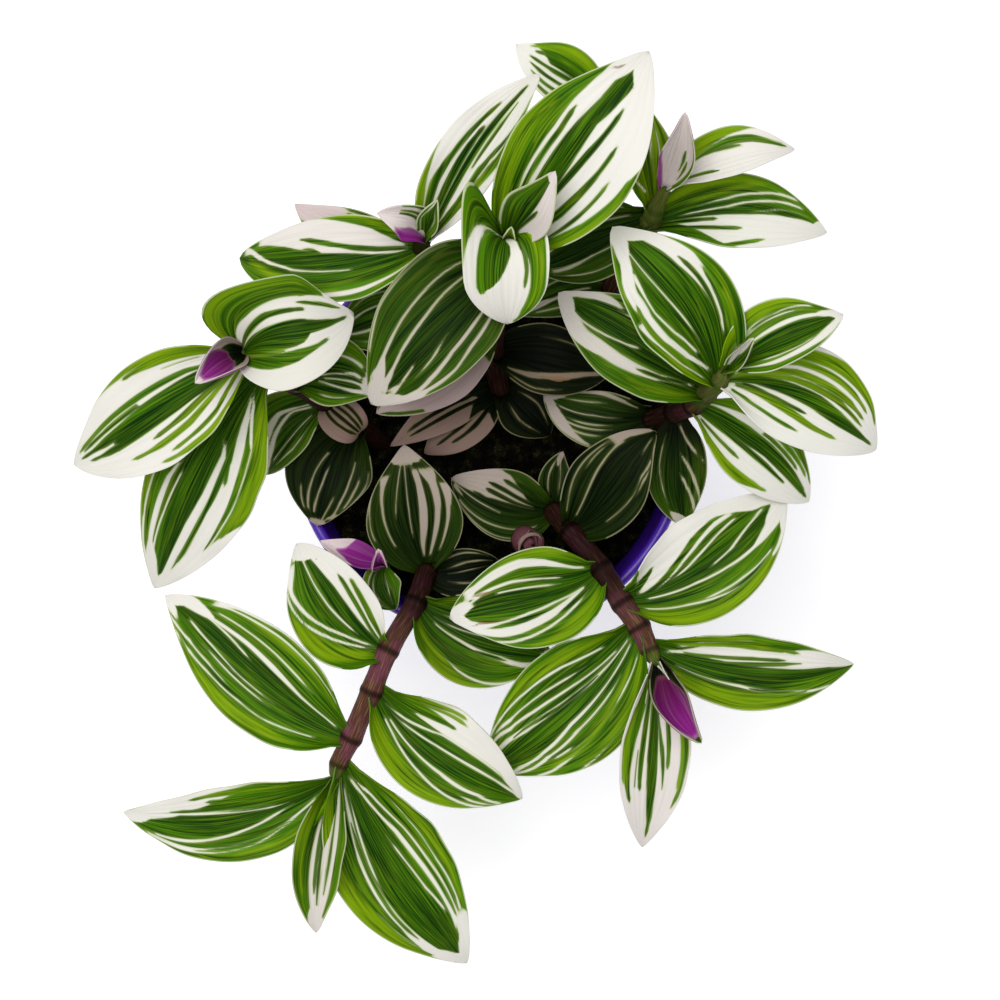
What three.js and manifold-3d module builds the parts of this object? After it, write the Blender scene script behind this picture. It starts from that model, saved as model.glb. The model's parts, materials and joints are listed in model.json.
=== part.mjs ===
// A potted tradescantia: ten leafy shoots with pointed, striped leaves that clasp their stems,
// standing in dark potting soil in a round plastic pot. Millimetres, +Z up. The origin is the
// centre of the pot's base, and the long front shoots reach towards -Y.
import * as THREE from 'three';
import { mergeVertices } from 'three/addons/utils/BufferGeometryUtils.js';
import Module from 'manifold-3d';

const wasm = await Module();
wasm.setup();

// Driving dimensions
const POT_HEIGHT = 110;
const RIM_RADIUS = 60;
const RIM_WIDTH = 3.4; // the rolled rim, seen from above
const RIM_DEPTH = 12; // the band that hangs down outside the wall
const BASE_RADIUS = 43;
const BASE_EDGE = 2; // rounding where the wall meets the base
const WALL = 1.8;
const FLOOR = 2.4;
const DRAIN_COUNT = 6;
const DRAIN_RADIUS = 3.5;
const DRAIN_RING = 27;
const SOIL_TOP = 98;
const SOIL_CROWN = 1.5; // how much the soil stands higher in the middle
const STEM_BURIED = 16; // length of stem under the soil's surface
const GAP = 0.35; // between neighbouring pieces

const BLADE_THICKNESS = 0.8;
const BLADE_ROOT = 1.8; // how far a blade runs on into its stem
const CLASP = 0.4; // how far inside the stem's surface a blade starts
const CLASP_SHARE = 0.62; // widest base, as a share of the blade's full width
const CLASP_OPENING = 5; // how quickly the clasping base opens out along the blade
const TIGHTEST_CURL = 0.9; // smallest radius of a rolled blade
const WIDEST_SHIFT = 0.8; // below one moves a blade's widest place towards its base
const LOBE_END = 0.55; // how far along the blade a lobe reaches

// Fineness
const ROUND_SIDES = 48;
const CURVE_STEPS = 3;
const DRAIN_SIDES = 10;
const STEM_SIDES = 8;
const STEM_STEPS_PER_JOINT = 2;
const BLADE_COLUMNS = 4;
const BLADE_ROW_LENGTH = 9;
const FEWEST_ROWS = 4;
const MOST_ROWS = 7;
const TANGENT_STEP = 0.01;
const NEARLY_FLAT = 1e-6;
const WELD = 1e-4;

// Looks
const POT_LOOK = { color: 0x4a2f92, roughness: 0.35, metalness: 0 };
const SOIL_LOOK = { color: 0x1d130c, roughness: 0.95, metalness: 0 };
const LEAF_LOOK = { color: 0x4f8a22, roughness: 0.5, metalness: 0 };

// Makes the peak of u * (1 - u)^2 one, and of u^2 * (1 - u)
const HUMP = 27 / 4;
// Makes the peak of u * (1 - u) one
const BOW = 4;

// A leaf sits at a joint of its stem. Its heading is counted from +X towards +Y and its rise from the
// horizontal, both in degrees, for the straight chord from stem to tip. Lift carries the blade along
// the stem before it turns outwards, droop arches it upwards so that the tip hangs, and sweep bends
// it to its left. Lean gives the left half more width, cup is the half angle of its arched section,
// roll turns the section, and grip is the half angle with which it clasps the stem. Fullness below
// one makes the outline blunter, and taper is how much its last stretch is drawn in to a point. A
// lobe is how far one side of the base bulges back past the stem.
const USUAL_LEAF = {
  sweep: 0,
  lean: 0,
  lift: 3,
  droop: 5,
  roll: 0,
  cup: 10,
  grip: 105,
  fullness: 0.68,
  taper: 0.36,
  leftLobe: 0,
  rightLobe: 0,
};

const SHOOTS = [
  {
    name: 'front_left_shoot',
    radius: 3.1,
    joints: [
      [-15, -32, 96],
      [-19, -40, 110],
      [-22, -49, 117],
      [-30, -63, 121],
      [-35, -75, 121],
      [-41, -89, 119],
      [-45, -97, 118],
      [-46, -102, 118],
    ],
    leaves: [
      {
        at: 1, heading: 99, rise: 16, length: 37.5, width: 29, lift: 1.5, droop: 3, grip: 70,
        fullness: 0.72,
      },
      { at: 1, heading: 8, rise: -13, length: 20.5, width: 15, lift: 2, droop: 3 },
      { at: 2, heading: -22, rise: -11, length: 42, width: 28.5, lean: -0.05, droop: 4 },
      {
        at: 3, heading: 129, rise: 1, length: 39, width: 26.5, sweep: -1.5, lean: 0.22,
        droop: 4, cup: 16, fullness: 0.6,
      },
      { at: 4, heading: -37, rise: -9, length: 53.5, width: 29, sweep: -0.5 },
      { at: 5, heading: 143, rise: -7, length: 68, width: 31, sweep: -2, lean: 0.05 },
      { at: 6, heading: -60, rise: -15, length: 74.5, width: 35.5, sweep: -1 },
      {
        at: 7, heading: -170, rise: -12, length: 66.5, width: 24.5, sweep: 4.5, lean: 0.1,
        lift: 2, roll: -12, cup: 14,
      },
      { at: 7, heading: -98, rise: -4, length: 46, width: 17, sweep: -0.5, lean: -0.2, lift: 2, cup: 45 },
    ],
  },
  {
    name: 'front_sprig_shoot',
    radius: 2,
    joints: [
      [-24, -33, 96],
      [-27, -36, 104],
      [-32, -38, 111],
    ],
    leaves: [
      {
        at: 2, heading: 159, rise: 14, length: 20, width: 11, sweep: 0.5, lift: 1, droop: 3,
        roll: 35, cup: 60,
      },
      {
        at: 2, heading: -74, rise: 2, length: 13.5, width: 12, sweep: -1.5, lift: 1, droop: 2,
        fullness: 0.55,
      },
      { at: 2, heading: 105, rise: 60, length: 9.5, width: 8, lift: 2, droop: 1, cup: 100 },
    ],
  },
  {
    name: 'front_right_shoot',
    radius: 3.2,
    joints: [
      [15, -17, 96],
      [19, -22, 106],
      [24, -28, 113],
      [33, -39, 119],
      [39, -49, 122],
      [44, -56, 123],
      [47, -63, 124],
      [49, -67, 126],
    ],
    leaves: [
      {
        at: 1, heading: 161, rise: 5, length: 30, width: 21.5, sweep: 1.5, lift: 2, droop: 3,
        grip: 70, fullness: 0.6,
      },
      { at: 1, heading: 82, rise: 10, length: 16, width: 10.5, sweep: 1.5, lift: 1, droop: 1, cup: 14 },
      {
        at: 2, heading: 50, rise: 17, length: 37.5, width: 24.5, sweep: 3, droop: 4, cup: 8,
        fullness: 0.58,
      },
      { at: 3, heading: -163, rise: 3, length: 44.5, width: 30, sweep: -1, droop: 4, fullness: 0.62 },
      {
        at: 4, heading: 34, rise: -6, length: 56.5, width: 31, sweep: -2.5, lift: 2, cup: 8,
        fullness: 0.62,
      },
      {
        at: 5, heading: -134, rise: -18, length: 63, width: 36.5, sweep: -0.5, lean: 0.05,
        cup: 8, fullness: 0.62,
      },
      { at: 6, heading: -5, rise: -9, length: 60.5, width: 23, sweep: -3, lift: 2, cup: 18 },
      { at: 7, heading: -93, rise: -16, length: 57.5, width: 21.5, droop: 4, cup: 22 },
      { at: 7, heading: -62, rise: 22, length: 26.5, width: 17, sweep: -2, lift: 2, droop: 4, cup: 100 },
    ],
  },
  {
    name: 'centre_bud_shoot',
    radius: 1.5,
    joints: [
      [15, -35, 96],
      [14, -34, 104],
      [12.5, -32, 112],
    ],
    leaves: [
      { at: 2, heading: -48, rise: 74, length: 8.5, width: 13, lift: 2, droop: 0, cup: 130 },
      { at: 1, heading: 180, rise: 68, length: 13, width: 9, lift: 2, droop: 1, cup: 60 },
    ],
  },
  {
    name: 'left_shoot',
    radius: 3,
    joints: [
      [-33, -1, 96],
      [-40, 4, 110],
      [-48, 10, 124],
      [-56, 15, 134],
      [-64, 18, 143],
      [-68, 21, 150],
      [-69, 23, 154],
    ],
    leaves: [
      {
        at: 1, heading: -111, rise: 2, length: 30, width: 26.5, sweep: -1.5, lift: 2, droop: 3,
        cup: 5, fullness: 0.58,
      },
      {
        at: 2, heading: -40, rise: -32, length: 12.5, width: 13, lift: 2, cup: 25, grip: 60,
        fullness: 0.55,
      },
      {
        at: 3, heading: -8, rise: 1, length: 22, width: 21, sweep: 2, lean: 0.2, lift: 2,
        droop: 2, cup: 6,
      },
      {
        at: 2, heading: -132, rise: -24, length: 28.5, width: 20, lean: -0.4, lift: 2, droop: 4,
        cup: 12,
      },
      { at: 4, heading: -120, rise: -26, length: 78.5, width: 34, lean: 0.09 },
      {
        at: 5, heading: -151, rise: -20, length: 62.5, width: 31, sweep: 4, lean: -0.1, lift: 4,
        droop: 6, cup: 12,
      },
      {
        at: 6, heading: 19, rise: 3, length: 32, width: 33, sweep: -3, lift: 7, cup: 16,
        fullness: 0.55, taper: 0.6, leftLobe: 10, rightLobe: 1,
      },
      { at: 6, heading: -142, rise: 35, length: 17.5, width: 16, lift: 1, droop: 2, cup: 95 },
    ],
  },
  {
    name: 'back_left_shoot',
    radius: 3,
    joints: [
      [-12, 11, 96],
      [-15, 26, 114],
      [-17, 39, 132],
      [-18, 48, 144],
      [-19, 52, 152],
      [-17, 55, 158],
    ],
    leaves: [
      { at: 2, heading: -161, rise: -5, length: 27, width: 20.5, sweep: 1.5, lift: 2, droop: 3 },
      { at: 3, heading: 154, rise: -5, length: 39.5, width: 16, sweep: 2.5, lift: 2, droop: 3, cup: 8 },
      {
        at: 4, heading: -178, rise: -12, length: 51.5, width: 24.5, sweep: 4, cup: 6,
        fullness: 0.6, taper: 0.1,
      },
      {
        at: 5, heading: 53, rise: 23, length: 54.5, width: 18.5, sweep: 2.5, lift: 2, droop: 4,
        cup: 8, fullness: 0.6, leftLobe: 3,
      },
      {
        at: 5, heading: 160, rise: 34, length: 16.5, width: 13, sweep: -1, lift: 2, droop: 3,
        roll: -30, cup: 40,
      },
      { at: 5, heading: 62, rise: 60, length: 17, width: 8, lift: 1, droop: 1, cup: 60 },
    ],
  },
  {
    name: 'back_shoot',
    radius: 3.1,
    joints: [
      [5, 11, 96],
      [3, 15, 106],
      [1, 25, 122],
      [2, 35, 140],
      [5, 46, 158],
      [5, 51, 168],
      [5, 53, 173],
    ],
    leaves: [
      { at: 1, heading: -152, rise: 9, length: 35, width: 12, sweep: -0.5, lift: 2, droop: 3, cup: 8 },
      { at: 1, heading: -139, rise: -2, length: 27.5, width: 16, sweep: 1.5, lift: 2, droop: 4, cup: 8 },
      { at: 1, heading: -44, rise: -9, length: 18.5, width: 18, lift: 2, droop: 2, cup: 14 },
      {
        at: 2, heading: -10, rise: -7, length: 32.5, width: 21, sweep: -1.5, droop: 4, cup: 8,
        fullness: 0.6,
      },
      {
        at: 3, heading: -140, rise: -12, length: 43.5, width: 21.5, sweep: 1, lean: 0.2, lift: 2,
        droop: 3, cup: 8,
      },
      {
        at: 4, heading: -135, rise: -10, length: 52, width: 33, sweep: 1.5, lean: -0.18, lift: 4,
        droop: 6, cup: 6, fullness: 0.62, rightLobe: 4,
      },
      {
        at: 5, heading: 53, rise: 19, length: 63, width: 35.5, sweep: -2, lift: 4, droop: 6,
        fullness: 0.62,
      },
      {
        at: 6, heading: -90, rise: -22, length: 24, width: 25, lean: -0.04, lift: 7, droop: 5,
        cup: 22, fullness: 0.52, taper: 0.75, leftLobe: 3, rightLobe: 16,
      },
      { at: 6, heading: 51, rise: 43, length: 25.5, width: 16, sweep: -1.5, lift: 2, droop: 3, cup: 45 },
      { at: 6, heading: 79, rise: 72, length: 7.5, width: 5, lift: 0.5, droop: 1, cup: 80 },
    ],
  },
  {
    name: 'back_low_shoot',
    radius: 2.6,
    joints: [
      [18, 37, 96],
      [20, 45, 107],
      [22, 53, 116],
      [24, 62, 120],
      [29, 84, 126],
      [33, 98, 131],
    ],
    leaves: [
      { at: 5, heading: 149, rise: 6, length: 29, width: 17.5, sweep: 2.5, lift: 2, droop: 4 },
      { at: 4, heading: 67, rise: 4, length: 24.5, width: 20, lift: 2, droop: 4, cup: 12 },
    ],
  },
  {
    name: 'back_right_shoot',
    radius: 3,
    joints: [
      [31, 32, 96],
      [36, 44, 116],
      [43, 55, 134],
      [46, 61, 142],
      [47, 64, 148],
      [50, 70, 154],
    ],
    leaves: [
      { at: 1, heading: -163, rise: -11, length: 26, width: 14, sweep: -1.5, lift: 2, droop: 2, cup: 6 },
      { at: 3, heading: -158, rise: -24, length: 35.5, width: 22, sweep: 1.5, lift: 2, droop: 4, cup: 6 },
      { at: 3, heading: -3, rise: -4, length: 48.5, width: 22.5, sweep: 2, roll: -8, cup: 16 },
      { at: 4, heading: 95, rise: 11, length: 27.5, width: 15, sweep: 1.5, lift: 2, droop: 4, cup: 16 },
      { at: 5, heading: 15, rise: 5, length: 35.5, width: 16, sweep: 2, lift: 2, roll: -14, cup: 35 },
      { at: 5, heading: 77, rise: 51, length: 26.5, width: 15, sweep: -1, lift: 1, droop: 1, cup: 90 },
    ],
  },
  {
    name: 'right_shoot',
    radius: 3,
    joints: [
      [31, 2, 96],
      [42, 4, 106],
      [48, 5, 115],
      [54, 7, 124],
      [59, 9, 132],
      [62, 12, 141],
      [65, 15, 149],
      [66, 18, 154],
    ],
    leaves: [
      {
        at: 2, heading: 167, rise: -8, length: 31, width: 17.5, sweep: 4.5, lift: 2, droop: 3,
        cup: 8, fullness: 0.6,
      },
      {
        at: 3, heading: -84, rise: -24, length: 34, width: 18.5, sweep: -2, lift: 1, droop: 2,
        grip: 60, fullness: 0.6,
      },
      {
        at: 4, heading: -38, rise: -24, length: 47.5, width: 23.5, sweep: -0.5, lean: 0.1,
        lift: 2, droop: 4, cup: 8,
      },
      {
        at: 5, heading: 146, rise: -1, length: 48.5, width: 26, sweep: 2, droop: 4, cup: 8,
        fullness: 0.62,
      },
      {
        at: 6, heading: 126, rise: 13, length: 51.5, width: 30, lean: -0.05, lift: 5, droop: 6,
        cup: 12, fullness: 0.6,
      },
      {
        at: 6, heading: -22, rise: -21, length: 52.5, width: 29.5, sweep: 1.5, lean: 0.18,
        lift: 2, cup: 8, fullness: 0.62,
      },
      {
        at: 7, heading: 25, rise: 8, length: 35, width: 21.5, lean: 0.15, lift: 2, droop: 4,
        roll: -20, cup: 34,
      },
      { at: 7, heading: 56, rise: 56, length: 17, width: 8, lift: 1, droop: 0, cup: 100 },
    ],
  },
];

// Solids

// The closed solid that a three.js geometry bounds, with its doubled vertices welded.
function solidOf(geometry) {
  geometry.deleteAttribute('normal');
  geometry.deleteAttribute('uv');
  const welded = mergeVertices(geometry, WELD);
  const corners = welded.index.array;
  const triangles = [];
  for (let i = 0; i < corners.length; i += 3) {
    const [a, b, c] = corners.slice(i, i + 3);
    if (a !== b && b !== c && c !== a) triangles.push(a, b, c);
  }
  return new wasm.Manifold(new wasm.Mesh({
    numProp: 3,
    vertProperties: new Float32Array(welded.attributes.position.array),
    triVerts: new Uint32Array(triangles),
  }));
}

function meshOf(solid, name, look) {
  const { vertProperties, triVerts } = solid.getMesh();
  const geometry = new THREE.BufferGeometry();
  geometry.setAttribute('position', new THREE.BufferAttribute(vertProperties, 3));
  geometry.setIndex(new THREE.BufferAttribute(triVerts, 1));
  geometry.computeVertexNormals();
  const mesh = new THREE.Mesh(geometry, new THREE.MeshStandardMaterial(look));
  mesh.name = name;
  return mesh;
}

// A profile of radius and height, turned about the Z axis.
function turned(path) {
  const geometry = new THREE.LatheGeometry(path.getPoints(CURVE_STEPS), ROUND_SIDES);
  return solidOf(geometry.rotateX(Math.PI / 2));
}

// Pot

function innerRadius(height) {
  const top = RIM_RADIUS - RIM_WIDTH;
  const bottom = BASE_RADIUS - WALL;
  return THREE.MathUtils.mapLinear(height, FLOOR, POT_HEIGHT, bottom, top);
}

function potSolid() {
  const bandBottom = POT_HEIGHT - RIM_DEPTH;
  const roll = RIM_WIDTH / 2;
  const profile = new THREE.Path();
  profile.moveTo(0, 0);
  profile.lineTo(BASE_RADIUS - BASE_EDGE, 0);
  profile.quadraticCurveTo(BASE_RADIUS, 0, innerRadius(BASE_EDGE) + WALL, BASE_EDGE);
  profile.lineTo(innerRadius(bandBottom) + WALL, bandBottom);
  profile.lineTo(RIM_RADIUS, bandBottom);
  profile.lineTo(RIM_RADIUS, POT_HEIGHT - roll);
  profile.absarc(RIM_RADIUS - roll, POT_HEIGHT - roll, roll, 0, Math.PI);
  profile.lineTo(innerRadius(FLOOR), FLOOR);
  profile.lineTo(0, FLOOR);
  let pot = turned(profile);
  for (let i = 0; i < DRAIN_COUNT; i += 1) {
    const angle = (i / DRAIN_COUNT) * 2 * Math.PI;
    const drain = new THREE.CylinderGeometry(DRAIN_RADIUS, DRAIN_RADIUS, 3 * FLOOR, DRAIN_SIDES);
    drain.rotateX(Math.PI / 2);
    drain.translate(DRAIN_RING * Math.cos(angle), DRAIN_RING * Math.sin(angle), 0);
    pot = pot.subtract(solidOf(drain));
  }
  return pot;
}

// Soil

function soilSolid() {
  const bottom = FLOOR + GAP;
  const profile = new THREE.Path();
  profile.moveTo(0, bottom);
  profile.lineTo(innerRadius(bottom) - GAP, bottom);
  profile.lineTo(innerRadius(SOIL_TOP - SOIL_CROWN) - GAP, SOIL_TOP - SOIL_CROWN);
  profile.quadraticCurveTo(innerRadius(SOIL_TOP) / 2, SOIL_TOP, 0, SOIL_TOP);
  let soil = turned(profile);
  for (const shoot of SHOOTS) {
    soil = soil.subtract(stemSolid(shoot, GAP));
  }
  return soil;
}

// Shoots

// The stem as a round tube through its joints, from its buried end to its last joint. An allowance
// makes it that much thicker and deeper, which is the hole that it stands in.
function stemSolid(shoot, allowance = 0) {
  const radius = shoot.radius + allowance;
  const joints = shoot.joints.map((joint) => new THREE.Vector3(...joint));
  const buried = joints[0].clone().setZ(SOIL_TOP - STEM_BURIED - allowance);
  const path = new THREE.CatmullRomCurve3([buried, ...joints]);
  const section = new THREE.Shape();
  section.absarc(0, 0, radius, 0, 2 * Math.PI);
  return solidOf(new THREE.ExtrudeGeometry(section, {
    curveSegments: STEM_SIDES / 2,
    steps: STEM_STEPS_PER_JOINT * joints.length,
    extrudePath: path,
  }));
}

function stemDirection(joints, at) {
  const before = new THREE.Vector3(...joints[Math.max(at - 1, 0)]);
  const after = new THREE.Vector3(...joints[Math.min(at + 1, joints.length - 1)]);
  return after.sub(before).normalize();
}

// What a leaf's points are worked out from: its base, its chord and the directions round it.
function bladeFrame(shoot, leaf) {
  const heading = THREE.MathUtils.degToRad(leaf.heading);
  const rise = THREE.MathUtils.degToRad(leaf.rise);
  const stem = stemDirection(shoot.joints, leaf.at);
  const chord = new THREE.Vector3(
    Math.cos(rise) * Math.cos(heading),
    Math.cos(rise) * Math.sin(heading),
    Math.sin(rise),
  );
  const outward = chord.clone().addScaledVector(stem, -chord.dot(stem)).normalize();
  const base = new THREE.Vector3(...shoot.joints[leaf.at]).addScaledVector(outward, shoot.radius - CLASP);
  const face = new THREE.Vector3(0, 0, 1).addScaledVector(chord, -chord.z).normalize();
  const left = new THREE.Vector3().crossVectors(face, chord);
  return { stem, chord, base, face, left };
}

function midline(frame, leaf, u) {
  return frame.base.clone()
    .addScaledVector(frame.chord, leaf.length * u)
    .addScaledVector(frame.stem, leaf.lift * HUMP * u * (1 - u) ** 2)
    .addScaledVector(frame.face, leaf.droop * HUMP * u ** 2 * (1 - u))
    .addScaledVector(frame.left, leaf.sweep * BOW * u * (1 - u));
}

// Half the blade's width at u, as a share of its full half width: an oval that runs out into a
// point, with a base as wide as clasps the stem.
function outline(leaf, u, baseShare) {
  const oval = Math.sin(Math.PI * u ** WIDEST_SHIFT) ** leaf.fullness * (1 - leaf.taper * u ** 5);
  return oval + baseShare * (1 - u) ** 3 * (1 - oval);
}

// A point of the blade, u from base to tip, v from 1 at the left margin to -1 at the right one, and
// height above the middle of its thickness.
function bladePoint(shoot, leaf, frame, u, v, height) {
  const halfWidth = leaf.width / 2;
  const claspRadius = shoot.radius - CLASP / 2;
  const claspWidth = claspRadius * THREE.MathUtils.degToRad(leaf.grip);
  const baseShare = Math.min(CLASP_SHARE, claspWidth / halfWidth);
  const claspAngle = halfWidth * baseShare / claspRadius;
  const cup = THREE.MathUtils.degToRad(leaf.cup);

  const ahead = midline(frame, leaf, Math.min(u + TANGENT_STEP, 1));
  const tangent = ahead.sub(midline(frame, leaf, Math.max(u - TANGENT_STEP, 0))).normalize();
  const roll = THREE.MathUtils.degToRad(leaf.roll);
  const side = frame.left.clone().multiplyScalar(Math.cos(roll)).addScaledVector(frame.face, Math.sin(roll));
  side.addScaledVector(tangent, -side.dot(tangent)).normalize();
  const normal = new THREE.Vector3().crossVectors(tangent, side);

  const local = halfWidth * outline(leaf, u, baseShare);
  const reach = local * (1 + leaf.lean * Math.sign(v));
  const wanted = cup + (claspAngle - cup) * (1 - u) ** CLASP_OPENING;
  const angle = Math.max(Math.min(wanted, local / TIGHTEST_CURL), NEARLY_FLAT);
  const backward = Math.sin(Math.PI * Math.min(1, u / LOBE_END)) * v * v;
  const lobe = v > 0 ? leaf.leftLobe : leaf.rightLobe;
  return midline(frame, leaf, u)
    .addScaledVector(side, reach * Math.sin(angle * v) / angle)
    .addScaledVector(normal, reach * (1 - Math.cos(angle * v)) / angle)
    .addScaledVector(frame.chord, -lobe * backward)
    .addScaledVector(tangent, u === 0 ? -BLADE_ROOT : 0)
    .addScaledVector(normal, height * Math.cos(angle * v))
    .addScaledVector(side, -height * Math.sin(angle * v));
}

// A blade is a flat grid bent into shape twice, as its upper and its lower face, with a narrow strip
// round its margin between them. Both faces have the same triangles.
function bladeSolid(shoot, given) {
  const leaf = { ...USUAL_LEAF, ...given };
  const frame = bladeFrame(shoot, leaf);
  const wantedRows = Math.round(leaf.length / BLADE_ROW_LENGTH);
  const rows = THREE.MathUtils.clamp(wantedRows, FEWEST_ROWS, MOST_ROWS);
  const grid = new THREE.PlaneGeometry(2, 1, BLADE_COLUMNS, rows);
  const flat = grid.attributes.position;
  const count = flat.count;
  const positions = [];
  for (const height of [BLADE_THICKNESS / 2, -BLADE_THICKNESS / 2]) {
    for (let i = 0; i < count; i += 1) {
      const u = flat.getY(i) + 0.5;
      const v = u < 1 ? -flat.getX(i) : 0;
      const point = bladePoint(shoot, leaf, frame, u, v, height);
      positions.push(point.x, point.y, point.z);
    }
  }

  const upper = Array.from(grid.index.array);
  const lower = upper.map((corner) => corner + count).reverse();
  const corner = (column, row) => column + row * (BLADE_COLUMNS + 1);
  const margin = [];
  for (let column = 0; column < BLADE_COLUMNS; column += 1) margin.push(corner(column, rows));
  for (let row = rows; row > 0; row -= 1) margin.push(corner(BLADE_COLUMNS, row));
  for (let row = 0; row < rows; row += 1) margin.push(corner(0, row));
  const strip = margin.flatMap((a, i) => {
    const b = margin[(i + 1) % margin.length];
    return [a, a + count, b + count, a, b + count, b];
  });

  const geometry = new THREE.BufferGeometry();
  geometry.setAttribute('position', new THREE.Float32BufferAttribute(positions, 3));
  geometry.setIndex([...upper, ...lower, ...strip]);
  return solidOf(geometry);
}

function shootSolid(shoot) {
  return shoot.leaves.reduce(
    (solid, leaf) => solid.add(bladeSolid(shoot, leaf)),
    stemSolid(shoot),
  );
}

// The plant in its pot

const pottedPlant = new THREE.Group();
pottedPlant.add(meshOf(potSolid(), 'pot', POT_LOOK));
pottedPlant.add(meshOf(soilSolid(), 'soil', SOIL_LOOK));
for (const shoot of SHOOTS) {
  pottedPlant.add(meshOf(shootSolid(shoot), shoot.name, LEAF_LOOK));
}

export default pottedPlant;
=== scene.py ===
"""A potted tradescantia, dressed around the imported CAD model.

Millimetres are used for the plant and its pot, as on a drawing, and turned into metres where a mesh
is filled. The sections follow the order in which the plant is put together: the place it stands in,
the pot, the soil, and then its ten leafy shoots.
"""
import json
import math

import bpy
import numpy as np
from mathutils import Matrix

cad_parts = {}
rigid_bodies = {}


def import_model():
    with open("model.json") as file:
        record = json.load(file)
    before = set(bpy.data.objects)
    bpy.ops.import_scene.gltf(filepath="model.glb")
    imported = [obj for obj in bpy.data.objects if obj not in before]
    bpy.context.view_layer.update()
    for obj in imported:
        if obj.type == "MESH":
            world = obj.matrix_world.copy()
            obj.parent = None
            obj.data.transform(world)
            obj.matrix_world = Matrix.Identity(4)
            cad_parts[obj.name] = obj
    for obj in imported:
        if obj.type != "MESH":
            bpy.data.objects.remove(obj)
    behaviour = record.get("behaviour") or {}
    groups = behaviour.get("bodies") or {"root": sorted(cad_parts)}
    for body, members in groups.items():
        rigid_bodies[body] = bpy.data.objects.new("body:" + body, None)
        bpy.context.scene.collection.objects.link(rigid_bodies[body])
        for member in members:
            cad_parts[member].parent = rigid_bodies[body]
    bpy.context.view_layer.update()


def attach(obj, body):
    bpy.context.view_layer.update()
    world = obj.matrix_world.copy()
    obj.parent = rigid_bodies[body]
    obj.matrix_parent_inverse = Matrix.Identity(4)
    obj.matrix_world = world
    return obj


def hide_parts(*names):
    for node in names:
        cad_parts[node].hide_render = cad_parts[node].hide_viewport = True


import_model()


# ---------------------------------------------------------------------------------------------
# The place: a camera that looks straight down on the plant, a plain pale floor, and light from a
# bright room with one large soft lamp above.
# ---------------------------------------------------------------------------------------------

MM = 0.001
CAMERA_PLACE = (0.003, -0.0186, 0.760)
PHOTO_PIXELS = 1000
FOCAL_PIXELS = 2167
SENSOR_WIDTH = 36
FLOOR_SIZE = 6
FLOOR_COLOUR = (0.9, 0.9, 0.9, 1)
FLOOR_ROUGHNESS = 0.9
FLOOR_GLOW = 0.5
WHITE_LIGHT = (1, 1, 1, 1)
ROOM_STRENGTH = 0.5
LAMP_PLACE = (-0.3, 0.2, 1.3)
LAMP_SIZE = 0.9
LAMP_WATTS = 10.5


class Shade:
    """One output of a shader node. Sums and products of it add Math nodes to its material."""

    def __init__(self, tree, socket=None):
        self.tree = tree
        self.socket = socket

    def node(self, kind, settings=(), inputs=(), output=0):
        """Adds a node: its settings first, then the values or links of its inputs."""
        made = self.tree.nodes.new(kind)
        for name, value in dict(settings).items():
            setattr(made, name, value)
        for name, value in dict(inputs).items():
            if isinstance(value, Shade):
                self.tree.links.new(value.socket, made.inputs[name])
            else:
                made.inputs[name].default_value = value
        return Shade(self.tree, made.outputs[output])

    def reckon(self, operation, first, second=0.0):
        return self.node("ShaderNodeMath", {"operation": operation}, {0: first, 1: second})

    def __add__(self, other):
        return self.reckon("ADD", self, other)

    def __radd__(self, other):
        return self.reckon("ADD", other, self)

    def __sub__(self, other):
        return self.reckon("SUBTRACT", self, other)

    def __rsub__(self, other):
        return self.reckon("SUBTRACT", other, self)

    def __mul__(self, other):
        return self.reckon("MULTIPLY", self, other)

    def __rmul__(self, other):
        return self.reckon("MULTIPLY", other, self)

    def __abs__(self):
        return self.reckon("ABSOLUTE", self)

    def step(self, low, high):
        """Rises smoothly from 0, where this value is low, to 1, where it is high."""
        inputs = {"Value": self, "From Min": low, "From Max": high}
        return self.node("ShaderNodeMapRange", {"interpolation_type": "SMOOTHSTEP"}, inputs)

    def blend(self, share, colour, way="MIX"):
        """This colour with another laid over it, as much as share says."""
        factor, under, over, mixed = 0, 6, 7, 2
        return self.node(
            "ShaderNodeMix",
            {"data_type": "RGBA", "blend_type": way},
            {factor: share, under: self, over: colour},
            output=mixed,
        )


def new_material(name):
    """A material, its principled shader, and the start of its shader sums."""
    material = bpy.data.materials.new(name)
    material.use_nodes = True
    return material, material.node_tree.nodes["Principled BSDF"], Shade(material.node_tree)


def set_inputs(shader, values):
    for name, value in values.items():
        if isinstance(value, Shade):
            value.tree.links.new(value.socket, shader.inputs[name])
        else:
            shader.inputs[name].default_value = value


def deselect_all():
    for thing in bpy.context.view_layer.objects:
        thing.select_set(False)


camera = bpy.data.objects.new("camera", bpy.data.cameras.new("camera"))
bpy.context.scene.collection.objects.link(camera)
camera.location = CAMERA_PLACE
camera.data.sensor_width = SENSOR_WIDTH
camera.data.lens = SENSOR_WIDTH * FOCAL_PIXELS / PHOTO_PIXELS
bpy.context.scene.camera = camera
bpy.context.scene.view_settings.view_transform = "Standard"

deselect_all()
bpy.ops.mesh.primitive_plane_add(size=FLOOR_SIZE)
floor = bpy.context.object
floor.name = "floor"
floor_material, floor_shader, _ = new_material("pale floor")
set_inputs(floor_shader, {
    "Base Color": FLOOR_COLOUR,
    "Roughness": FLOOR_ROUGHNESS,
    "Emission Color": FLOOR_COLOUR,
    "Emission Strength": FLOOR_GLOW,
})
floor.data.materials.append(floor_material)

room = bpy.data.worlds.new("room")
room.use_nodes = True
room.node_tree.nodes["Background"].inputs["Color"].default_value = WHITE_LIGHT
room.node_tree.nodes["Background"].inputs["Strength"].default_value = ROOM_STRENGTH
bpy.context.scene.world = room

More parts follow.
